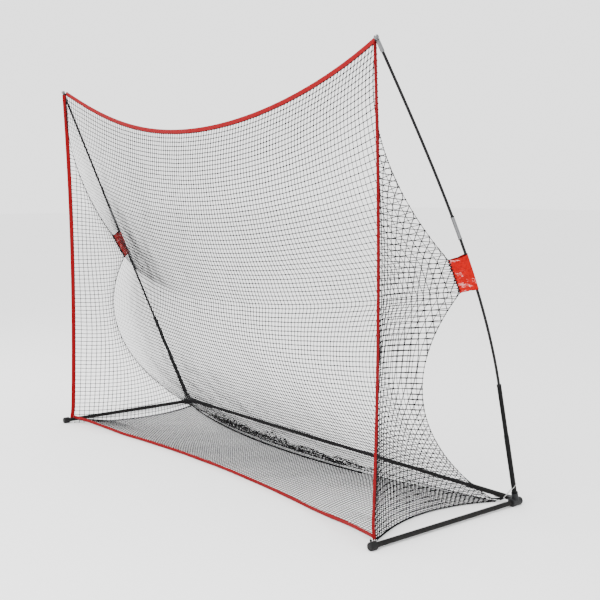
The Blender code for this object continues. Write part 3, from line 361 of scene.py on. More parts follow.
class FinishColours(bpy.types.PropertyGroup):
    """Colours of the netting, tapes and hardware."""
    twine: colour_property(
        "Netting", "Colour of the net's twine", (0.0060, 0.0060, 0.0066))
    tape: colour_property(
        "Edge tape", "Colour of the woven edge tape", (0.175, 0.0001, 0.0026))
    patch: colour_property(
        "Pole patch", "Colour of the coated cloth round the poles", (0.400, 0.0002, 0.0002))
    steel: colour_property(
        "Coated steel", "Colour of the powder-coated tubes", (0.0040, 0.0040, 0.0043))
    rod: colour_property(
        "Rods", "Colour of the fibreglass rods", (0.0045, 0.0045, 0.0049))
    plating: colour_property(
        "Plated parts", "Colour of ferrules, tips and buttons", (0.170, 0.173, 0.178))


class StudioSettings(bpy.types.PropertyGroup):
    """Floor and light of the studio."""
    floor: colour_property("Floor", "Colour of the studio floor", (0.930, 0.930, 0.930))
    sky: bpy.props.FloatProperty(
        name="Surround light", description="Strength of the even light from all round",
        default=2.3, min=0.0, max=20.0)
    key: bpy.props.FloatProperty(
        name="Key light", description="Power of the large light above the mouth",
        default=420.0, min=0.0, max=5000.0, unit="POWER")


# --- Shader maths and finishes -----------------------------------------
class Signal:
    """A shader socket whose arithmetic adds Math nodes."""

    def __init__(self, finish, socket):
        self.finish = finish
        self.socket = socket

    def maths(self, operation, *values):
        return self.finish.node("ShaderNodeMath", {"operation": operation},
                                dict(enumerate(values)))

    def __add__(self, other):
        return self.maths("ADD", self, other)

    __radd__ = __add__

    def __mul__(self, other):
        return self.maths("MULTIPLY", self, other)

    def __sub__(self, other):
        return self.maths("SUBTRACT", self, other)

    def __rsub__(self, other):
        return self.maths("SUBTRACT", other, self)

    def wave(self, period):
        """A sine wave between 0 and 1."""
        return self.maths("SINE", self * (math.tau / period)) * 0.5 + 0.5

    def size(self):
        return self.maths("ABSOLUTE", self)

    def above(self, level, softness):
        """0 below a level and 1 above it, with a soft step."""
        return self.finish.node("ShaderNodeMapRange", {"interpolation_type": "SMOOTHSTEP"},
                                {"Value": self, "From Min": level - softness,
                                 "From Max": level + softness})


class Finish:
    """A material built round one Principled shader."""

    def __init__(self, name, roughness=0.5, metallic=0.0, coat=0.0, shine=0.5):
        self.material = bpy.data.materials.new(name)
        self.material.use_nodes = True
        self.tree = self.material.node_tree
        self.shader = self.tree.nodes["Principled BSDF"]
        self.give("Roughness", roughness)
        self.give("Metallic", metallic)
        self.give("Coat Weight", coat)
        self.give("Specular IOR Level", shine)

    def node(self, kind, settings=None, values=None, output=0):
        """Add a node, set it up, fill its sockets with values or links, give an output."""
        made = self.tree.nodes.new(kind)
        for key, value in (settings or {}).items():
            setattr(made, key, value)
        for key, value in (values or {}).items():
            self.fill(made.inputs[key], value)
        return Signal(self, made.outputs[output])

    def fill(self, socket, value):
        if isinstance(value, Signal):
            self.tree.links.new(value.socket, socket)
        elif socket.type == "RGBA" and len(value) == 3:
            socket.default_value = (*value, 1.0)
        else:
            socket.default_value = value

    def give(self, socket, value):
        self.fill(self.shader.inputs[socket], value)

    def position(self, stretch=(1, 1, 1), source="Object"):
        """Coordinates in metres on the piece, stretched along each axis."""
        place_on = self.node("ShaderNodeTexCoord", output=source)
        return self.node("ShaderNodeMapping", values={"Vector": place_on, "Scale": stretch})

    def grain(self, where, scale, detail=2.0, roughness=0.5):
        return self.node("ShaderNodeTexNoise", values={
            "Vector": where, "Scale": scale, "Detail": detail, "Roughness": roughness})

    def blend(self, factor, first, second):
        return self.node("ShaderNodeMix", {"data_type": "RGBA"},
                         {0: factor, 6: first, 7: second}, output=2)

    def bump(self, height, strength, distance):
        self.give("Normal", self.node("ShaderNodeBump", values={
            "Height": height, "Strength": strength, "Distance": distance}))

    def low_part(self, where, height):
        """1 on the ground, fading to 0 at twice a height."""
        level = self.node("ShaderNodeSeparateXYZ", values={0: where}, output=2)
        return 1.0 - level.above(height, height)


def scaled(colour, factor):
    return tuple(min(1.0, channel * factor) for channel in colour)


def powder_coat(name, colour):
    """Satin powder coat: a fine orange peel, small rubs and dust near the floor."""
    finish = Finish(name, coat=0.01, shine=0.06)
    where = finish.position()
    peel = finish.grain(where, 900.0)
    cloud = finish.grain(where, 14.0, 4.0)
    rubs = finish.grain(finish.position((60.0, 60.0, 60.0)), 1.6, 6.0, 0.7).above(0.66, 0.03)
    low = finish.low_part(where, 0.03)
    tint = finish.blend(cloud, scaled(colour, 0.8), scaled(colour, 1.35))
    tint = finish.blend(rubs * 0.25, tint, scaled(colour, 4.0))
    tint = finish.blend(low * cloud * 0.04, tint, DUST)
    finish.give("Base Color", tint)
    finish.give("Roughness", cloud * 0.16 + rubs * 0.08 + 0.40)
    finish.bump(peel, 0.12, 0.0004)
    return finish.material


def rod_lacquer(name, colour):
    """Pultruded fibreglass under lacquer: fine streaks along the rod."""
    finish = Finish(name, coat=0.02, shine=0.10)
    streaks = finish.grain(finish.position((700.0, 700.0, 12.0)), 1.0, 3.0)
    cloud = finish.grain(finish.position(), 9.0, 3.0)
    tint = finish.blend(streaks, scaled(colour, 0.7), scaled(colour, 1.6))
    finish.give("Base Color", finish.blend(cloud * 0.3, tint, scaled(colour, 2.2)))
    finish.give("Roughness", streaks * 0.18 + 0.30)
    finish.bump(streaks, 0.15, 0.0003)
    return finish.material


def moulded(name, colour, roughness):
    """Moulded plastic: fine spark grain, scuffs and a little dust."""
    finish = Finish(name, shine=0.12)
    where = finish.position()
    grain = finish.grain(where, 1500.0, 3.0, 0.6)
    cloud = finish.grain(where, 30.0, 4.0)
    scuffs = finish.grain(finish.position((40.0, 90.0, 90.0)), 2.0, 6.0, 0.75)
    scuffs = scuffs.above(0.68, 0.03)
    low = finish.low_part(where, 0.02)
    tint = finish.blend(cloud, scaled(colour, 0.85), scaled(colour, 1.25))
    tint = finish.blend(scuffs * 0.35, tint, scaled(colour, 3.0))
    tint = finish.blend(low * cloud * 0.04, tint, DUST)
    finish.give("Base Color", tint)
    finish.give("Roughness", cloud * 0.14 + roughness)
    finish.bump(grain, 0.25, 0.0003)
    return finish.material


def plated(name, colour):
    """Bright plating: fine turning lines, smudges and small dull spots."""
    finish = Finish(name, metallic=1.0)
    lines = finish.grain(finish.position((90.0, 90.0, 1400.0)), 1.0, 2.0)
    smudge = finish.grain(finish.position(), 55.0, 4.0)
    spots = finish.grain(finish.position(), 420.0, 4.0, 0.7).above(0.70, 0.03)
    tint = finish.blend(smudge, scaled(colour, 0.82), scaled(colour, 1.1))
    finish.give("Base Color", finish.blend(spots * 0.5, tint, scaled(colour, 0.45)))
    finish.give("Roughness", lines * 0.10 + smudge * 0.14 + 0.14)
    finish.bump(lines, 0.10, 0.0002)
    return finish.material


def twine_cloth(name, colour):
    """Polyester twine: tiny filaments and slight fading."""
    finish = Finish(name, roughness=0.85, shine=0.06)
    filaments = finish.grain(finish.position(), 2600.0, 2.0)
    fade = finish.grain(finish.position(), 3.0, 3.0)
    tint = finish.blend(filaments, scaled(colour, 0.6), scaled(colour, 1.9))
    finish.give("Base Color", finish.blend(fade * 0.3, tint, scaled(colour, 2.2)))
    finish.bump(filaments, 0.4, 0.0003)
    return finish.material


def woven_tape(name, colour, width):
    """Woven polyester tape: ribs across, two lines of stitches and soft creases.

    Its UV map runs in metres, along the tape and across it.
    """
    finish = Finish(name, shine=0.08)
    along_across = finish.position(source="UV")
    run = finish.node("ShaderNodeSeparateXYZ", values={0: along_across}, output=0)
    across = finish.node("ShaderNodeSeparateXYZ", values={0: along_across}, output=1)
    ribs = run.wave(0.0011)
    warp = across.wave(0.0016)
    stitch = run.wave(0.0042).above(0.3, 0.08)
    seam = 0.0
    for line in (0.14, 0.86):
        seam = seam + (1.0 - (across - line * width).size().above(0.0007, 0.0003))
    thread = seam * stitch
    thread_colour = tuple(a + (b - a) * 0.1 for a, b in zip(colour, (0.9, 0.15, 0.15)))
    cloud = finish.grain(along_across, 22.0, 4.0)
    tint = finish.blend(cloud, scaled(colour, 0.72), scaled(colour, 1.18))
    tint = finish.blend(ribs * warp * 0.25, tint, scaled(colour, 1.5))
    tint = finish.blend(thread * 0.4, tint, thread_colour)
    finish.give("Base Color", tint)
    finish.give("Roughness", cloud * 0.15 + 0.62)
    finish.bump(ribs * warp * 0.35 + thread * 0.8 - seam * 0.4, 0.5, 0.0006)
    return finish.material


def coated_cloth(name, colour):
    """Coated cloth: glossy skin over a fine weave, creases, painted shade and highlights."""
    finish = Finish(name, coat=0.03, shine=0.04)
    where = finish.position()
    weave = finish.grain(where, 1300.0, 1.0)
    creases = finish.grain(finish.position((26.0, 26.0, 60.0)), 1.4, 5.0, 0.6)
    cloud = finish.grain(where, 18.0, 3.0)
    tint = finish.blend(cloud, scaled(colour, 0.6), scaled(colour, 1.15))
    # painted shade: the colour darkens to deep red along narrow lines of the crease noise,
    # standing in for shade in the creases
    painted_crease_shade = 1.0 - (creases - 0.46).size().above(0.014, 0.010)
    tint = finish.blend(painted_crease_shade * 0.6, tint, scaled(colour, 0.30))
    # painted highlight: near-white pink glints along other narrow crease lines, standing in
    # for light caught on the creases
    painted_glint = (1.0 - (creases - 0.57).size().above(0.010, 0.008)) * cloud.above(0.50, 0.05)
    finish.give("Base Color", finish.blend(painted_glint * 0.8, tint, (0.90, 0.62, 0.58)))
    finish.give("Roughness", creases * 0.25 + 0.16)
    finish.bump(creases + weave * 0.06, 0.6, 0.004)
    return finish.material


def braided_elastic(name, colour):
    """Braided elastic cord: crossing ribs over a soft core."""
    finish = Finish(name, roughness=0.8)
    ribs = finish.node("ShaderNodeTexWave", {"bands_direction": "DIAGONAL"},
                       {"Vector": finish.position(), "Scale": 260.0, "Distortion": 0.6})
    tint = finish.blend(ribs, scaled(colour, 0.6), scaled(colour, 1.25))
    finish.give("Base Color", tint)
    finish.bump(ribs, 0.5, 0.0004)
    return finish.material


# --- Shared helpers ----------------------------------------------------
def finish_of(slot):
    """The finish of a material slot, made when it is first asked for."""
    sizes = bpy.context.scene.golf_net_sizes
    colours = bpy.context.scene.golf_net_colours
    name, maker, *values = {
        "satin_black_steel": ("coated_steel", powder_coat, tuple(colours.steel)),
        "black_plastic": ("black_moulding", moulded, *BLACK_MOULDING),
        "grey_plastic": ("grey_moulding", moulded, *GREY_MOULDING),
        "fibreglass": ("rod_lacquer", rod_lacquer, tuple(colours.rod)),
        "bright_steel": ("bright_plating", plated, tuple(colours.plating)),
        "black_twine": ("net_twine", twine_cloth, tuple(colours.twine)),
        "red_binding": ("edge_tape", woven_tape, tuple(colours.tape), sizes.tape_width),
        "red_coated_fabric": ("patch_cloth", coated_cloth, tuple(colours.patch)),
        "grey_elastic": ("elastic_braid", braided_elastic, ELASTIC_GREY),
    }[slot]
    return bpy.data.materials.get(name) or maker(name, *values)


def add_object(name, data):
    made = bpy.data.objects.new(name, data)
    bpy.context.scene.collection.objects.link(made)
    return made


def mesh_of(shape, name):
    """A mesh with a bmesh's faces, which ends the bmesh."""
    mesh = bpy.data.meshes.new(name)
    shape.to_mesh(mesh)
    shape.free()
    return mesh


def add_piece(name, data, slot, replaced=()):
    """Put a mesh or curve on the frame, as a piece that stands for its solids."""
    data.materials.append(finish_of(slot))
    piece = add_object(name, data)
    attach(piece, BODY)
    if replaced:
        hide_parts(*replaced)
    return piece


def smooth_piece(name, shape, slot, replaced=()):
    mesh = mesh_of(shape, name)
    mesh.shade_smooth()
    return add_piece(name, mesh, slot, replaced)


def sheet_grid(columns, rows, point_at, share_at=None):
    """A grid laid by a rule that gives each point from its shares across and down.

    Another rule may give each point's share of the full strand, kept as its weight.
    """
    shape = bmesh.new()
    shape.loops.layers.uv.new("UVMap")
    weights = shape.verts.layers.deform.verify()
    bmesh.ops.create_grid(shape, x_segments=columns, y_segments=rows, size=0.5,
                          calc_uvs=True)
    for vert in shape.verts:
        across, down = vert.co.x + 0.5, 0.5 - vert.co.y
        vert.co = point_at(across, down)
        vert[weights][0] = share_at(across, down) if share_at else 1.0
    return shape


def knit(name, shape, thickness, replaced=()):
    """Turn each edge of a sheet into a strand, thinner where its weight is less."""
    bmesh.ops.remove_doubles(shape, verts=shape.verts, dist=MERGE_DISTANCE)
    piece = smooth_piece(name, shape, "black_twine", replaced)
    strands = piece.modifiers.new("strands", "WIREFRAME")
    strands.thickness = thickness
    strands.offset = 0.0
    strands.vertex_group = piece.vertex_groups.new(name="strand_share").name
    return piece


def add_knots(name, shape, size):
    """A small knot at each crossing of a sheet's strands."""
    weights = shape.verts.layers.deform.verify()
    centres = [(vert.co.copy(), size * vert[weights][0]) for vert in shape.verts]
    knots = bmesh.new()
    batch = bpy.data.meshes.new(name + "_batch")
    for start in range(0, len(centres), KNOT_BATCH):
        few = bmesh.new()
        for centre, width in centres[start:start + KNOT_BATCH]:
            angle = KNOT_TURN[0] + KNOT_TURN[1] * ripple(centre, 0.05, 15.0)
            turn = Matrix.Rotation(angle, 4, "Y")
            bmesh.ops.create_cube(few, size=width, matrix=Matrix.Translation(centre) @ turn)
        few.to_mesh(batch)
        few.free()
        knots.from_mesh(batch)
    bpy.data.meshes.remove(batch)
    add_piece(name, mesh_of(knots, name), "black_twine")


def straight_run(points):
    return sum((b - a).length for a, b in zip(points, points[1:]))


def sampled(rule, count):
    return [rule(i / count) for i in range(count + 1)]


# --- Netting -----------------------------------------------------------
def rippled_back(across, down, sizes):
    """The back net with the small waves of slack netting, still at its edges."""
    opened = FOLD_SPREAD * math.sin(math.pi * min(1.0, 1.1 * down)) ** 2
    for reach, way in ((across, 1), (1 - across, -1)):
        across += way * opened * reach * math.exp(-reach / FOLD_SPREAD_REACH)
    point = back_point(across, down)
    hold = min(1.0, 12 * across, 12 * (1 - across), 8 * down, 8 * (1 - down))
    sway = ripple(point, 0.35, 3.0) + 0.5 * ripple(point, 0.13, 9.0)
    shift = ripple(point, 0.06, 21.0) * BACK_SHIFT
    return point + Vector((shift, sizes.ripple * sway * hold, shift * 0.8))


def strand_share(across, down):
    """How thick the back net's strands are: less beside each fold and at the floor."""
    thin = 0.0
    for reach, loss in ((across, FOLD_THINNING[0]), (1 - across, FOLD_THINNING[1])):
        thin += loss * math.exp(-(reach / FOLD_THIN_REACH) ** 2)
    thin *= min(1.0, 5 * down)
    return 1 - thin - FOOT_THINNING * (1 - thin) * down ** 12


def add_back_netting(sizes):
    width = straight_run(sampled(from_left(top_edge), 48))
    height = straight_run(sampled(lambda s: back_point(0.5, s), 48))
    shape = sheet_grid(round(width / sizes.pitch), round(height / sizes.pitch),
                       lambda across, down: rippled_back(across, down, sizes), strand_share)
    add_knots("back_knots", shape, sizes.knot)
    knit("back_netting", shape, sizes.twine, BACK_PANELS)


def side_point(side, reach, down, sizes):
    """A point of a side net at a distance from its tape, no further than the fold."""
    edge = side_edge(side, down)
    fold = fold_line(side, down)
    width = (fold - edge).length
    share = min(1.0, reach / width) if width > 1e-4 else 1.0
    point = edge.lerp(fold, share)
    chord = front_corner(side).lerp(rear_corner(side), share)
    point += (side_cord_line(side, share) - chord) * down
    hold = min(1.0, 6 * share, 6 * (1 - share)) * min(1.0, 8 * (1 - down))
    sway = ripple(point, 0.30, 5.0) + 0.5 * ripple(point, 0.11, 8.0)
    belly = 4 * share * (1 - share) * math.sin(math.pi * min(1.0, down * 1.1))
    point.x += side * (sizes.ripple * sway * hold - belly * width * SIDE_BULGE)
    return point


def add_side_netting(label, side, sizes):
    widest = (rear_corner(side) - front_corner(side)).length
    columns = math.ceil(widest / sizes.pitch)
    rows = round(straight_run(sampled(lambda s: side_edge(side, s), 24)) / sizes.pitch)
    shape = sheet_grid(columns, rows, lambda across, down: side_point(
        side, across * columns * sizes.pitch, down, sizes))
    add_knots("side_knots_" + label, shape, SIDE_KNOT_SHARE * sizes.knot)
    knit("side_netting_" + label, shape, sizes.twine, ["net_side_" + label])


def add_floor_netting(sizes):
    width = straight_run(sampled(from_left(front_edge), 48))
    depth = straight_run(sampled(lambda s: side_cord_line(1, s), 24))

    def point_at(across, down):
        point = floor_point(across, down)
        point.z += FLOOR_RIPPLE * max(0.0, ripple(point, 0.10, 31.0))
        lift = lifted_front(2 * across - 1).z - NET_FLOOR_HEIGHT
        point.z += lift * max(0.0, 1 - 4 * down)
        stray = Vector((ripple(point, 0.22, 33.0), ripple(point, 0.22, 35.0), 0))
        return point + stray * FLOOR_SHIFT

    shape = sheet_grid(round(width / sizes.pitch), round(depth / sizes.pitch), point_at)
    knit("floor_netting", shape, FLOOR_TWINE_SHARE * sizes.twine, ["net_floor"])


def add_foot_netting(sizes):
    """The slack foot of the back net, in folds on the floor behind the rear seam."""
    for layer, (left, right, start, end, rows, rise) in enumerate(FOOT_LAYERS):

        def point_at(across, down):
            share = left + (right - left) * across
            part = start + (end - start) * down
            point = rear_cord_line(share).lerp(landing_line(share), part)
            room = 4 * down * (1 - down) * (1 - share ** 4)
            crumple = ripple(point, 0.05, 41.0 + 7 * layer) + ripple(point, 0.02, 43.0)
            point.z += FOOT_CLEARANCE + room * rise * (1 + 0.8 * crumple)
            point.z = max(point.z, 0.5 * sizes.twine)
            point.y += FOOT_SHIFT[1] * room * ripple(point, 0.05, 51.0 + layer)
            point.x += FOOT_SHIFT[0] * room * ripple(point, 0.04, 57.0 + layer)
            return point

        width = (right - left) * REAR_CORNER[0]
        shape = sheet_grid(round(width / sizes.pitch), rows, point_at)
        knit(f"foot_netting_{layer + 1}", shape, FOOT_TWINE_SHARE * sizes.twine)
    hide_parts("net_back_foot")


# --- Tapes -------------------------------------------------------------
def lifted_front(share):
    """The front tape's edge: drawn up to the side tape's foot at each corner."""
    point = front_edge(share)
    near = max(0.0, (abs(share) - FRONT_LIFT_START) / (1 - FRONT_LIFT_START))
    point.z += FRONT_TAPE_LIFT * (3 * near ** 2 - 2 * near ** 3)
    return point


def flared_side(side, share):
    """A side tape's edge: its foot swings out towards the front cap."""
    point = side_edge(side, share)
    near = (share - SIDE_FLARE_START) / (1 - SIDE_FLARE_START)
    if near > 0:
        point.x += side * SIDE_TAPE_FLARE * near * near
        point.z += FRONT_TAPE_LIFT * near * near * SIDE_FLARE_RISE
    return point


def line_direction(line, share):
    ahead = min(1.0, share + LINE_STEP)
    behind = max(0.0, share - LINE_STEP)
    return (line(ahead) - line(behind)).normalized()


def across_directions(along, towards):
    """Two directions square to a line: nearest to a given one, and square to both."""
    first = (towards - towards.dot(along) * along).normalized()
    return first, along.cross(first)


def add_tape(name, line, outwards, count, sizes, replaced):
    """A woven tape along an edge, slightly puckered by its stitches."""
    length = straight_run(sampled(line, count))
    width = sizes.tape_width

    def point_at(across, down):
        point = line(across)
        out, flat = across_directions(line_direction(line, across), Vector(outwards))
        part = 1 - down
        pucker = ripple(point + out * 3 * width * part, 0.030, 61.0) * TAPE_PUCKER
        crown = 4 * part * (1 - part) * TAPE_CROWN
        return point + out * width * part + flat * (pucker + crown)

    shape = sheet_grid(count, TAPE_ROWS, point_at)
    layer = shape.loops.layers.uv.active
    for face in shape.faces:
        for corner in face.loops:
            u, v = corner[layer].uv
            corner[layer].uv = (u * length, v * width)
    piece = smooth_piece(name, shape, "red_binding", [replaced])
    wall = piece.modifiers.new("tape_thickness", "SOLIDIFY")
    wall.thickness = sizes.tape_thickness
    wall.offset = 0.0


# --- Cords -------------------------------------------------------------
def add_cord(name, lines, radius, replaced=(), slot="black_twine", closed=False):
    """A round cord, or several, each along its own line of points."""
    curve = bpy.data.curves.new(name, "CURVE")
    curve.dimensions = "3D"
    curve.bevel_depth = radius
    curve.bevel_resolution = 2
    curve.use_fill_caps = not closed
    for points in lines:
        spline = curve.splines.new("POLY")
        spline.points.add(len(points) - 1)
        for knot, point in zip(spline.points, points):
            knot.co = (*point, 1)
        spline.use_cyclic_u = closed
        spline.use_smooth = True
    add_piece(name, curve, slot, replaced)


def coiled(line, turns, radius, start=0.0, end=1.0, towards=Vector((0, 0, 1))):
    """A twine wound in even turns round a line."""
    points = []
    total = turns * COIL_POINTS
    for i in range(total + 1):
        share = start + (end - start) * i / total
        first, second = across_directions(line_direction(line, share), towards)
        angle = math.tau * i / COIL_POINTS
        points.append(line(share) + radius * (math.cos(angle) * first
                                              + math.sin(angle) * second))
    return points


def raised(points):
    return [Vector((p.x, p.y, max(CORD_FLOOR, p.z))) for p in points]


def add_lacing(name, line, turns, seed, sizes):
    """A lacing that wanders as it winds along a seam, as if pulled by hand."""
    points = []
    for point in coiled(line, turns, sizes.rope):
        stray = Vector((ripple(point, LACING_WANDER, seed),
                        ripple(point, LACING_WANDER, seed + 5),
                        0.5 * abs(ripple(point, LACING_WANDER, seed + 9))))
        points.append(point + LACING_SLACK * sizes.rope * stray)
    add_cord(name, [raised(points)], sizes.twine / 2)


def post_loop(post, far, along, radius, turn):
    """A loop drawn tight from round a post to a far point, where it turns back."""
    out = (far - post).normalized()
    across = along.cross(out)
    slant = 1 / across.length
    across.normalize()
    end = far - out * turn
    leaves = (radius - turn) / (end - post).length
    points = []
    for index in range(LOOP_POINTS):
        angle = math.tau * (index + 0.5) / LOOP_POINTS
        run, rise = math.cos(angle), math.sin(angle)
        if run > leaves:
            points.append(end + turn * (run * out + rise * across))
        else:
            points.append(post + radius * (run * slant * out + rise * across))
    return points


def wrapped_neck(post, far, share, length):
    """A whipping round a loop's two legs."""
    middle = post.lerp(far, share)
    half = (far - post).normalized() * length / 2
    return coiled(lambda s: (middle - half).lerp(middle + half, s), WHIPPING_TURNS,
                  WHIPPING_RADIUS, towards=Vector((0.2, 0.3, 1)))


def add_seam_ropes(label, side, sizes):
    """A thin cord down the fold and along the floor, and a lacing along the floor."""
    fold = sampled(lambda s: fold_line(side, s), 260)

    def seam(share):
        point = side_cord_line(side, share)
        point.z += FRONT_TAPE_LIFT * max(0.0, 1 - 7 * share) ** 2
        return point

    floor = sampled(seam, 80)
    add_cord("fold_cord_" + label, [fold, floor], sizes.rope / 3,
             ["side_seam_cord_" + label])
    add_lacing("floor_lacing_" + label, seam, FLOOR_LACING_TURNS, 71.0, sizes)


def rear_run(run):
    """Part of the rear seam, given by its length and its left end."""
    return lambda share: rear_cord_line(run[0] * share + run[1])


def add_rear_rope(sizes):
    rope = sampled(rear_run(REAR_ROPE_RUN), 160)
    add_cord("rear_rope", [rope], sizes.rope / 2, ["rear_seam_cord"])
    add_lacing("rear_lacing", rear_run(REAR_LACING_RUN), REAR_LACING_TURNS, 81.0, sizes)


def add_tie(corner, label, post, far, along, radius, neck, thin):
    """A cord loop from a post to a corner of the net, with a whipping round its neck."""
    loop = post_loop(post, far, along, radius, LOOP_TURN)
    add_cord(f"{corner}_tie_{label}", [loop], thin, [f"{corner}_loop_{label}"], closed=True)
    add_cord(f"{corner}_whipping_{label}", [wrapped_neck(post, far, *neck)], thin * 0.6)


def add_top_tie(label, side, sizes):
    thin = sizes.loop / 2
    up = tip_direction(side)
    post = pole_point(side, POLE_TIP_HEIGHT) - up * TIP_WAIST_BELOW
    along = (top_edge(side) - top_edge(side * 0.92)).normalized()
    rise = across_directions(along, Vector((0, 0, 1)))[0]
    far = top_edge(side) + rise * sizes.tape_width * 0.4 - along * 0.006
    add_tie("top", label, post, far, up, TIP_WAIST_RADIUS + thin, (0.62, 0.007), thin)


def add_front_tie(label, side, sizes):
    lug = place(side, *EYELET, 0)
    far = front_corner(side) + Vector((side * FRONT_TIE_END[0], *FRONT_TIE_END[1:]))
    run = Vector((far.x - lug.x, far.y - lug.y, 0)).normalized()
    add_tie("front", label, lug + run * EYELET_RIM, far, Vector((run.y, -run.x, 0)),
            LUG_LOOP_RADIUS, (0.6, 0.006), sizes.loop / 2)


def add_rear_tie(label, side, sizes):
    """An elastic loop from the pole's foot to a knot that gathers the net's rear corner."""
    thin = sizes.loop / 2
    corner = rear_corner(side)
    up = pole_direction(side, REAR_LOOP_HEIGHT)
    post = pole_point(side, 0) + up * REAR_LOOP_HEIGHT
    knot = corner + Vector((side * REAR_KNOT[0], *REAR_KNOT[1:]))
    loop = post_loop(post, knot, up, POLE_SLEEVE_RADIUS + thin, 0.003)
    add_cord("rear_tie_" + label, [loop], thin, ["rear_loop_" + label], "grey_elastic",
             closed=True)
    gather = []
    reach_in, reach_back, reach_up = GATHER_REACH
    for spread, rise in REAR_GATHER:
        start = corner + Vector((-side * reach_in, reach_back * spread, reach_up * rise))
        sag = Vector((0, 0, -GATHER_SAG * (1 - rise)))
        gather.append(raised(sampled(
            lambda s: start.lerp(knot, s) + sag * math.sin(math.pi * s), 12)))
    add_cord("rear_gather_" + label, gather, sizes.twine / 2)
    whipping = coiled(lambda s: corner.lerp(knot, 0.55 + 0.45 * s), 8, 0.0048)
    add_cord("rear_whipping_" + label, [whipping], thin * 0.8)


# --- Patches and rings on the poles ------------------------------------
def patch_point(side, across, down):
    """A point of the cloth: from the net, round the pole and back to the net."""
    height = PATCH_TOP_HEIGHT + (PATCH_LOW_HEIGHT - PATCH_TOP_HEIGHT) * down
    pole = pole_point(side, height)
    edge = patch_edge(side, down)
    towards, flat = across_directions(pole_direction(side, height), edge - pole)
    radius = ROD_RADIUS + PATCH_SKIN
    flap = (edge - pole).length
    turn = math.pi * radius
    run = across * (2 * flap + turn)
    if flap <= run <= flap + turn:
        angle = (run - flap) / radius
        return pole + radius * (math.cos(angle) * flat - math.sin(angle) * towards)
    layer = 1 if run < flap else -1
    share = run / flap if layer > 0 else (2 * flap + turn - run) / flap
    point = edge.lerp(pole + flat * radius * layer, share)
    near_rod = max(0.0, 1 - 3 * abs(share - 0.8))
    hold = min(1.0, 5 * share, 5 * (1 - share))
    crease = abs(ripple(point, 0.030, 91.0 + 3 * layer)) * 1.4
    crease += abs(ripple(point, 0.012, 95.0 + 3 * layer)) * 0.5
    puff = PATCH_GAP + hold * (PATCH_CREASE * crease + PATCH_GAP * near_rod)
    sag = 4 * share * (1 - share) * PATCH_SAG * (1 - 2 * down)
    return point + flat * layer * puff - pole_direction(side, PATCH_LOW_HEIGHT) * sag


def patch_rim(side, down):
    return sampled(lambda s: patch_point(side, s, down), PATCH_COLUMNS)


def add_patch(label, side, sizes):
    """Glossy creased cloth round the pole, piped and laced to the net's fold."""
    shape = sheet_grid(PATCH_COLUMNS, PATCH_ROWS,
                       lambda across, down: patch_point(side, across, down))
    piece = smooth_piece("patch_cloth_" + label, shape, "red_coated_fabric",
                         ["pole_patch_" + label])
    cut_width = straight_run(patch_rim(side, 0.5))
    cut_length = (patch_edge(side, 0) - patch_edge(side, 1)).length
    rims = [patch_rim(side, 0.0), patch_rim(side, 1.0),
            sampled(lambda s: patch_point(side, 0.0, s), 40)]
    add_cord("patch_piping_" + label, rims, 0.0008)
    lacing = coiled(lambda s: patch_edge(side, s), PATCH_LACING_TURNS, 0.0055, 0.02, 0.98)
    add_cord("patch_lacing_" + label, [lacing], sizes.twine * 0.6)


def add_ferrule_rings(label, side):
    """Crimped dark rings at the two ends of a ferrule."""
    for name, height in (("low", FERRULE_LOW), ("high", FERRULE_HIGH)):
        along = pole_direction(side, height)
        first, second = across_directions(along, Vector((1, 0, 0)))
        ring = []
        for i in range(RING_POINTS):
            angle = math.tau * i / RING_POINTS
            outwards = math.cos(angle) * first + math.sin(angle) * second
            ring.append(pole_point(side, height) + (FERRULE_RADIUS + 0.0004) * outwards)
        add_cord(f"ferrule_ring_{name}_{label}", [ring], 0.0011, slot="black_plastic",
                 closed=True)


# --- Operators ---------------------------------------------------------
class GOLFNET_OT_netting(bpy.types.Operator):
    """Make the back, side and floor netting"""
    bl_idname = "golfnet.netting"
    bl_label = "Netting"

    def execute(self, context):
        sizes = context.scene.golf_net_sizes
        add_back_netting(sizes)
        add_floor_netting(sizes)
        add_foot_netting(sizes)
        for label, side in SIDES:
            add_side_netting(label, side, sizes)
        return {"FINISHED"}


class GOLFNET_OT_tapes(bpy.types.Operator):
    """Make the woven tapes along the net's edges"""
    bl_idname = "golfnet.tapes"
    bl_label = "Edge tapes"

    def execute(self, context):
        sizes = context.scene.golf_net_sizes
        add_tape("top_tape", from_left(top_edge), (0, 0, 1), TAPE_STEPS, sizes,
                 "binding_top")
        add_tape("front_tape", from_left(lifted_front), FRONT_TAPE_OUT, TAPE_STEPS, sizes,
                 "binding_front")
        for label, side in SIDES:
            add_tape("side_tape_" + label, lambda s: flared_side(side, SIDE_TAPE_END * s),
                     (side * SIDE_TAPE_TURN, -1, 0), SIDE_TAPE_STEPS, sizes,
                     "binding_side_" + label)
        return {"FINISHED"}


class GOLFNET_OT_cords(bpy.types.Operator):
    """Make the seam cords, their lacing and the ties at the net's corners"""
    bl_idname = "golfnet.cords"
    bl_label = "Cords and ties"

    def execute(self, context):
        sizes = context.scene.golf_net_sizes
        add_rear_rope(sizes)
        for label, side in SIDES:
            for add in (add_seam_ropes, add_top_tie, add_front_tie, add_rear_tie):
                add(label, side, sizes)
        return {"FINISHED"}


class GOLFNET_OT_patches(bpy.types.Operator):
    """Make the cloth patches and the ferrules' rings on the poles"""
    bl_idname = "golfnet.patches"
    bl_label = "Pole patches"

    def execute(self, context):
        for label, side in SIDES:
            add_patch(label, side, context.scene.golf_net_sizes)
            add_ferrule_rings(label, side)
        return {"FINISHED"}


class GOLFNET_OT_finishes(bpy.types.Operator):
    """Give the tubes, rods, hubs, caps and fittings their finishes"""
    bl_idname = "golfnet.finishes"
    bl_label = "Hardware finishes"

    def execute(self, context):
        for part in frame["record"]["subparts"]:
            node = frame["nodes"][part["node"]]
            node.data.materials.clear()
            node.data.materials.append(finish_of(part["material_slot"]))
        return {"FINISHED"}


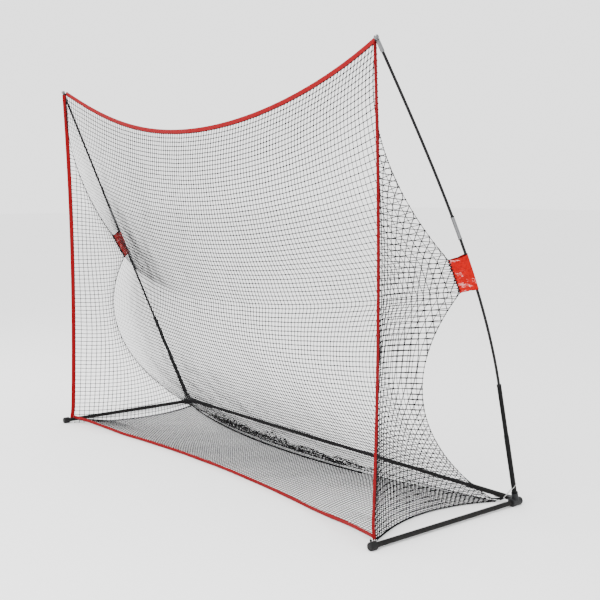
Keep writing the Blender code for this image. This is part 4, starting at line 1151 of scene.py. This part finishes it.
class GOLFNET_OT_studio(bpy.types.Operator):
    """Make the floor, the lights and the camera"""
    bl_idname = "golfnet.studio"
    bl_label = "Studio"

    def execute(self, context):
        add_floor()
        add_lights()
        add_camera()
        return {"FINISHED"}


def add_floor():
    settings = bpy.context.scene.golf_net_studio
    finish = Finish("studio_floor", roughness=0.9)
    mottle = finish.grain(finish.position(), 0.7, 2.0)
    finish.give("Base Color", finish.blend(mottle, scaled(settings.floor, 0.985),
                                           tuple(settings.floor)))
    shape = bmesh.new()
    bmesh.ops.create_grid(shape, x_segments=1, y_segments=1, size=STUDIO_FLOOR_REACH)
    mesh = mesh_of(shape, "studio_floor")
    mesh.materials.append(finish.material)
    floor = add_object("studio_floor", mesh)


def add_lights():
    settings = bpy.context.scene.golf_net_studio
    world = bpy.data.worlds.new("studio_surround")
    world.use_nodes = True
    ground = world.node_tree.nodes["Background"]
    ground.inputs["Color"].default_value = (1, 1, 1, 1)
    ground.inputs["Strength"].default_value = settings.sky
    bpy.context.scene.world = world
    for name, place_at, aim, size, power in (
            ("key_light", (2.5, -4.5, 4.5), (0, 0, 0.8), 3.5, settings.key),
            ("fill_light", (-4.5, -3.0, 3.0), (0, 0, 0.8), 3.0,
             settings.key * FILL_SHARE)):
        lamp = bpy.data.lights.new(name, "AREA")
        lamp.size = size
        lamp.energy = power
        light = add_object(name, lamp)
        light.location = place_at
        aim_at = Vector(aim) - Vector(place_at)
        light.rotation_euler = aim_at.to_track_quat("-Z", "Y").to_euler()


def add_camera():
    lens = bpy.data.cameras.new("studio_camera")
    lens.lens = CAMERA_LENS
    lens.sensor_width = 36.0
    lens.shift_x, lens.shift_y = CAMERA_SHIFT
    lens.clip_start = 0.05
    lens.clip_end = 200.0
    camera = add_object("studio_camera", lens)
    camera.matrix_world = Matrix.Translation(CAMERA_PLACE) @ Matrix(CAMERA_TURN).to_4x4()
    bpy.context.scene.camera = camera


SETTINGS = {"golf_net_sizes": NettingSizes, "golf_net_colours": FinishColours,
            "golf_net_studio": StudioSettings}
OPERATORS = (GOLFNET_OT_studio, GOLFNET_OT_netting, GOLFNET_OT_tapes, GOLFNET_OT_cords,
             GOLFNET_OT_patches, GOLFNET_OT_finishes)


class GOLFNET_PT_sidebar(bpy.types.Panel):
    """Sizes, colours and steps of the golf net's dressing"""
    bl_idname = "GOLFNET_PT_sidebar"
    bl_label = "Golf net"
    bl_space_type = "VIEW_3D"
    bl_region_type = "UI"
    bl_category = "Golf net"

    def draw(self, context):
        for name in SETTINGS:
            group = getattr(context.scene, name)
            column = self.layout.column(align=True)
            for key in group.__annotations__:
                column.prop(group, key)
        for step in OPERATORS:
            self.layout.operator(step.bl_idname)


CLASSES = (*SETTINGS.values(), *OPERATORS, GOLFNET_PT_sidebar)


def register():
    for item in CLASSES:
        bpy.utils.register_class(item)
    for name, group in SETTINGS.items():
        setattr(bpy.types.Scene, name, bpy.props.PointerProperty(type=group))


def unregister():
    for name in SETTINGS:
        delattr(bpy.types.Scene, name)
    for item in reversed(CLASSES):
        bpy.utils.unregister_class(item)


def main():
    register()
    for step in (bpy.ops.golfnet.studio, bpy.ops.golfnet.netting, bpy.ops.golfnet.tapes,
                 bpy.ops.golfnet.cords, bpy.ops.golfnet.patches, bpy.ops.golfnet.finishes):
        step()


if __name__ == "__main__":
    main()
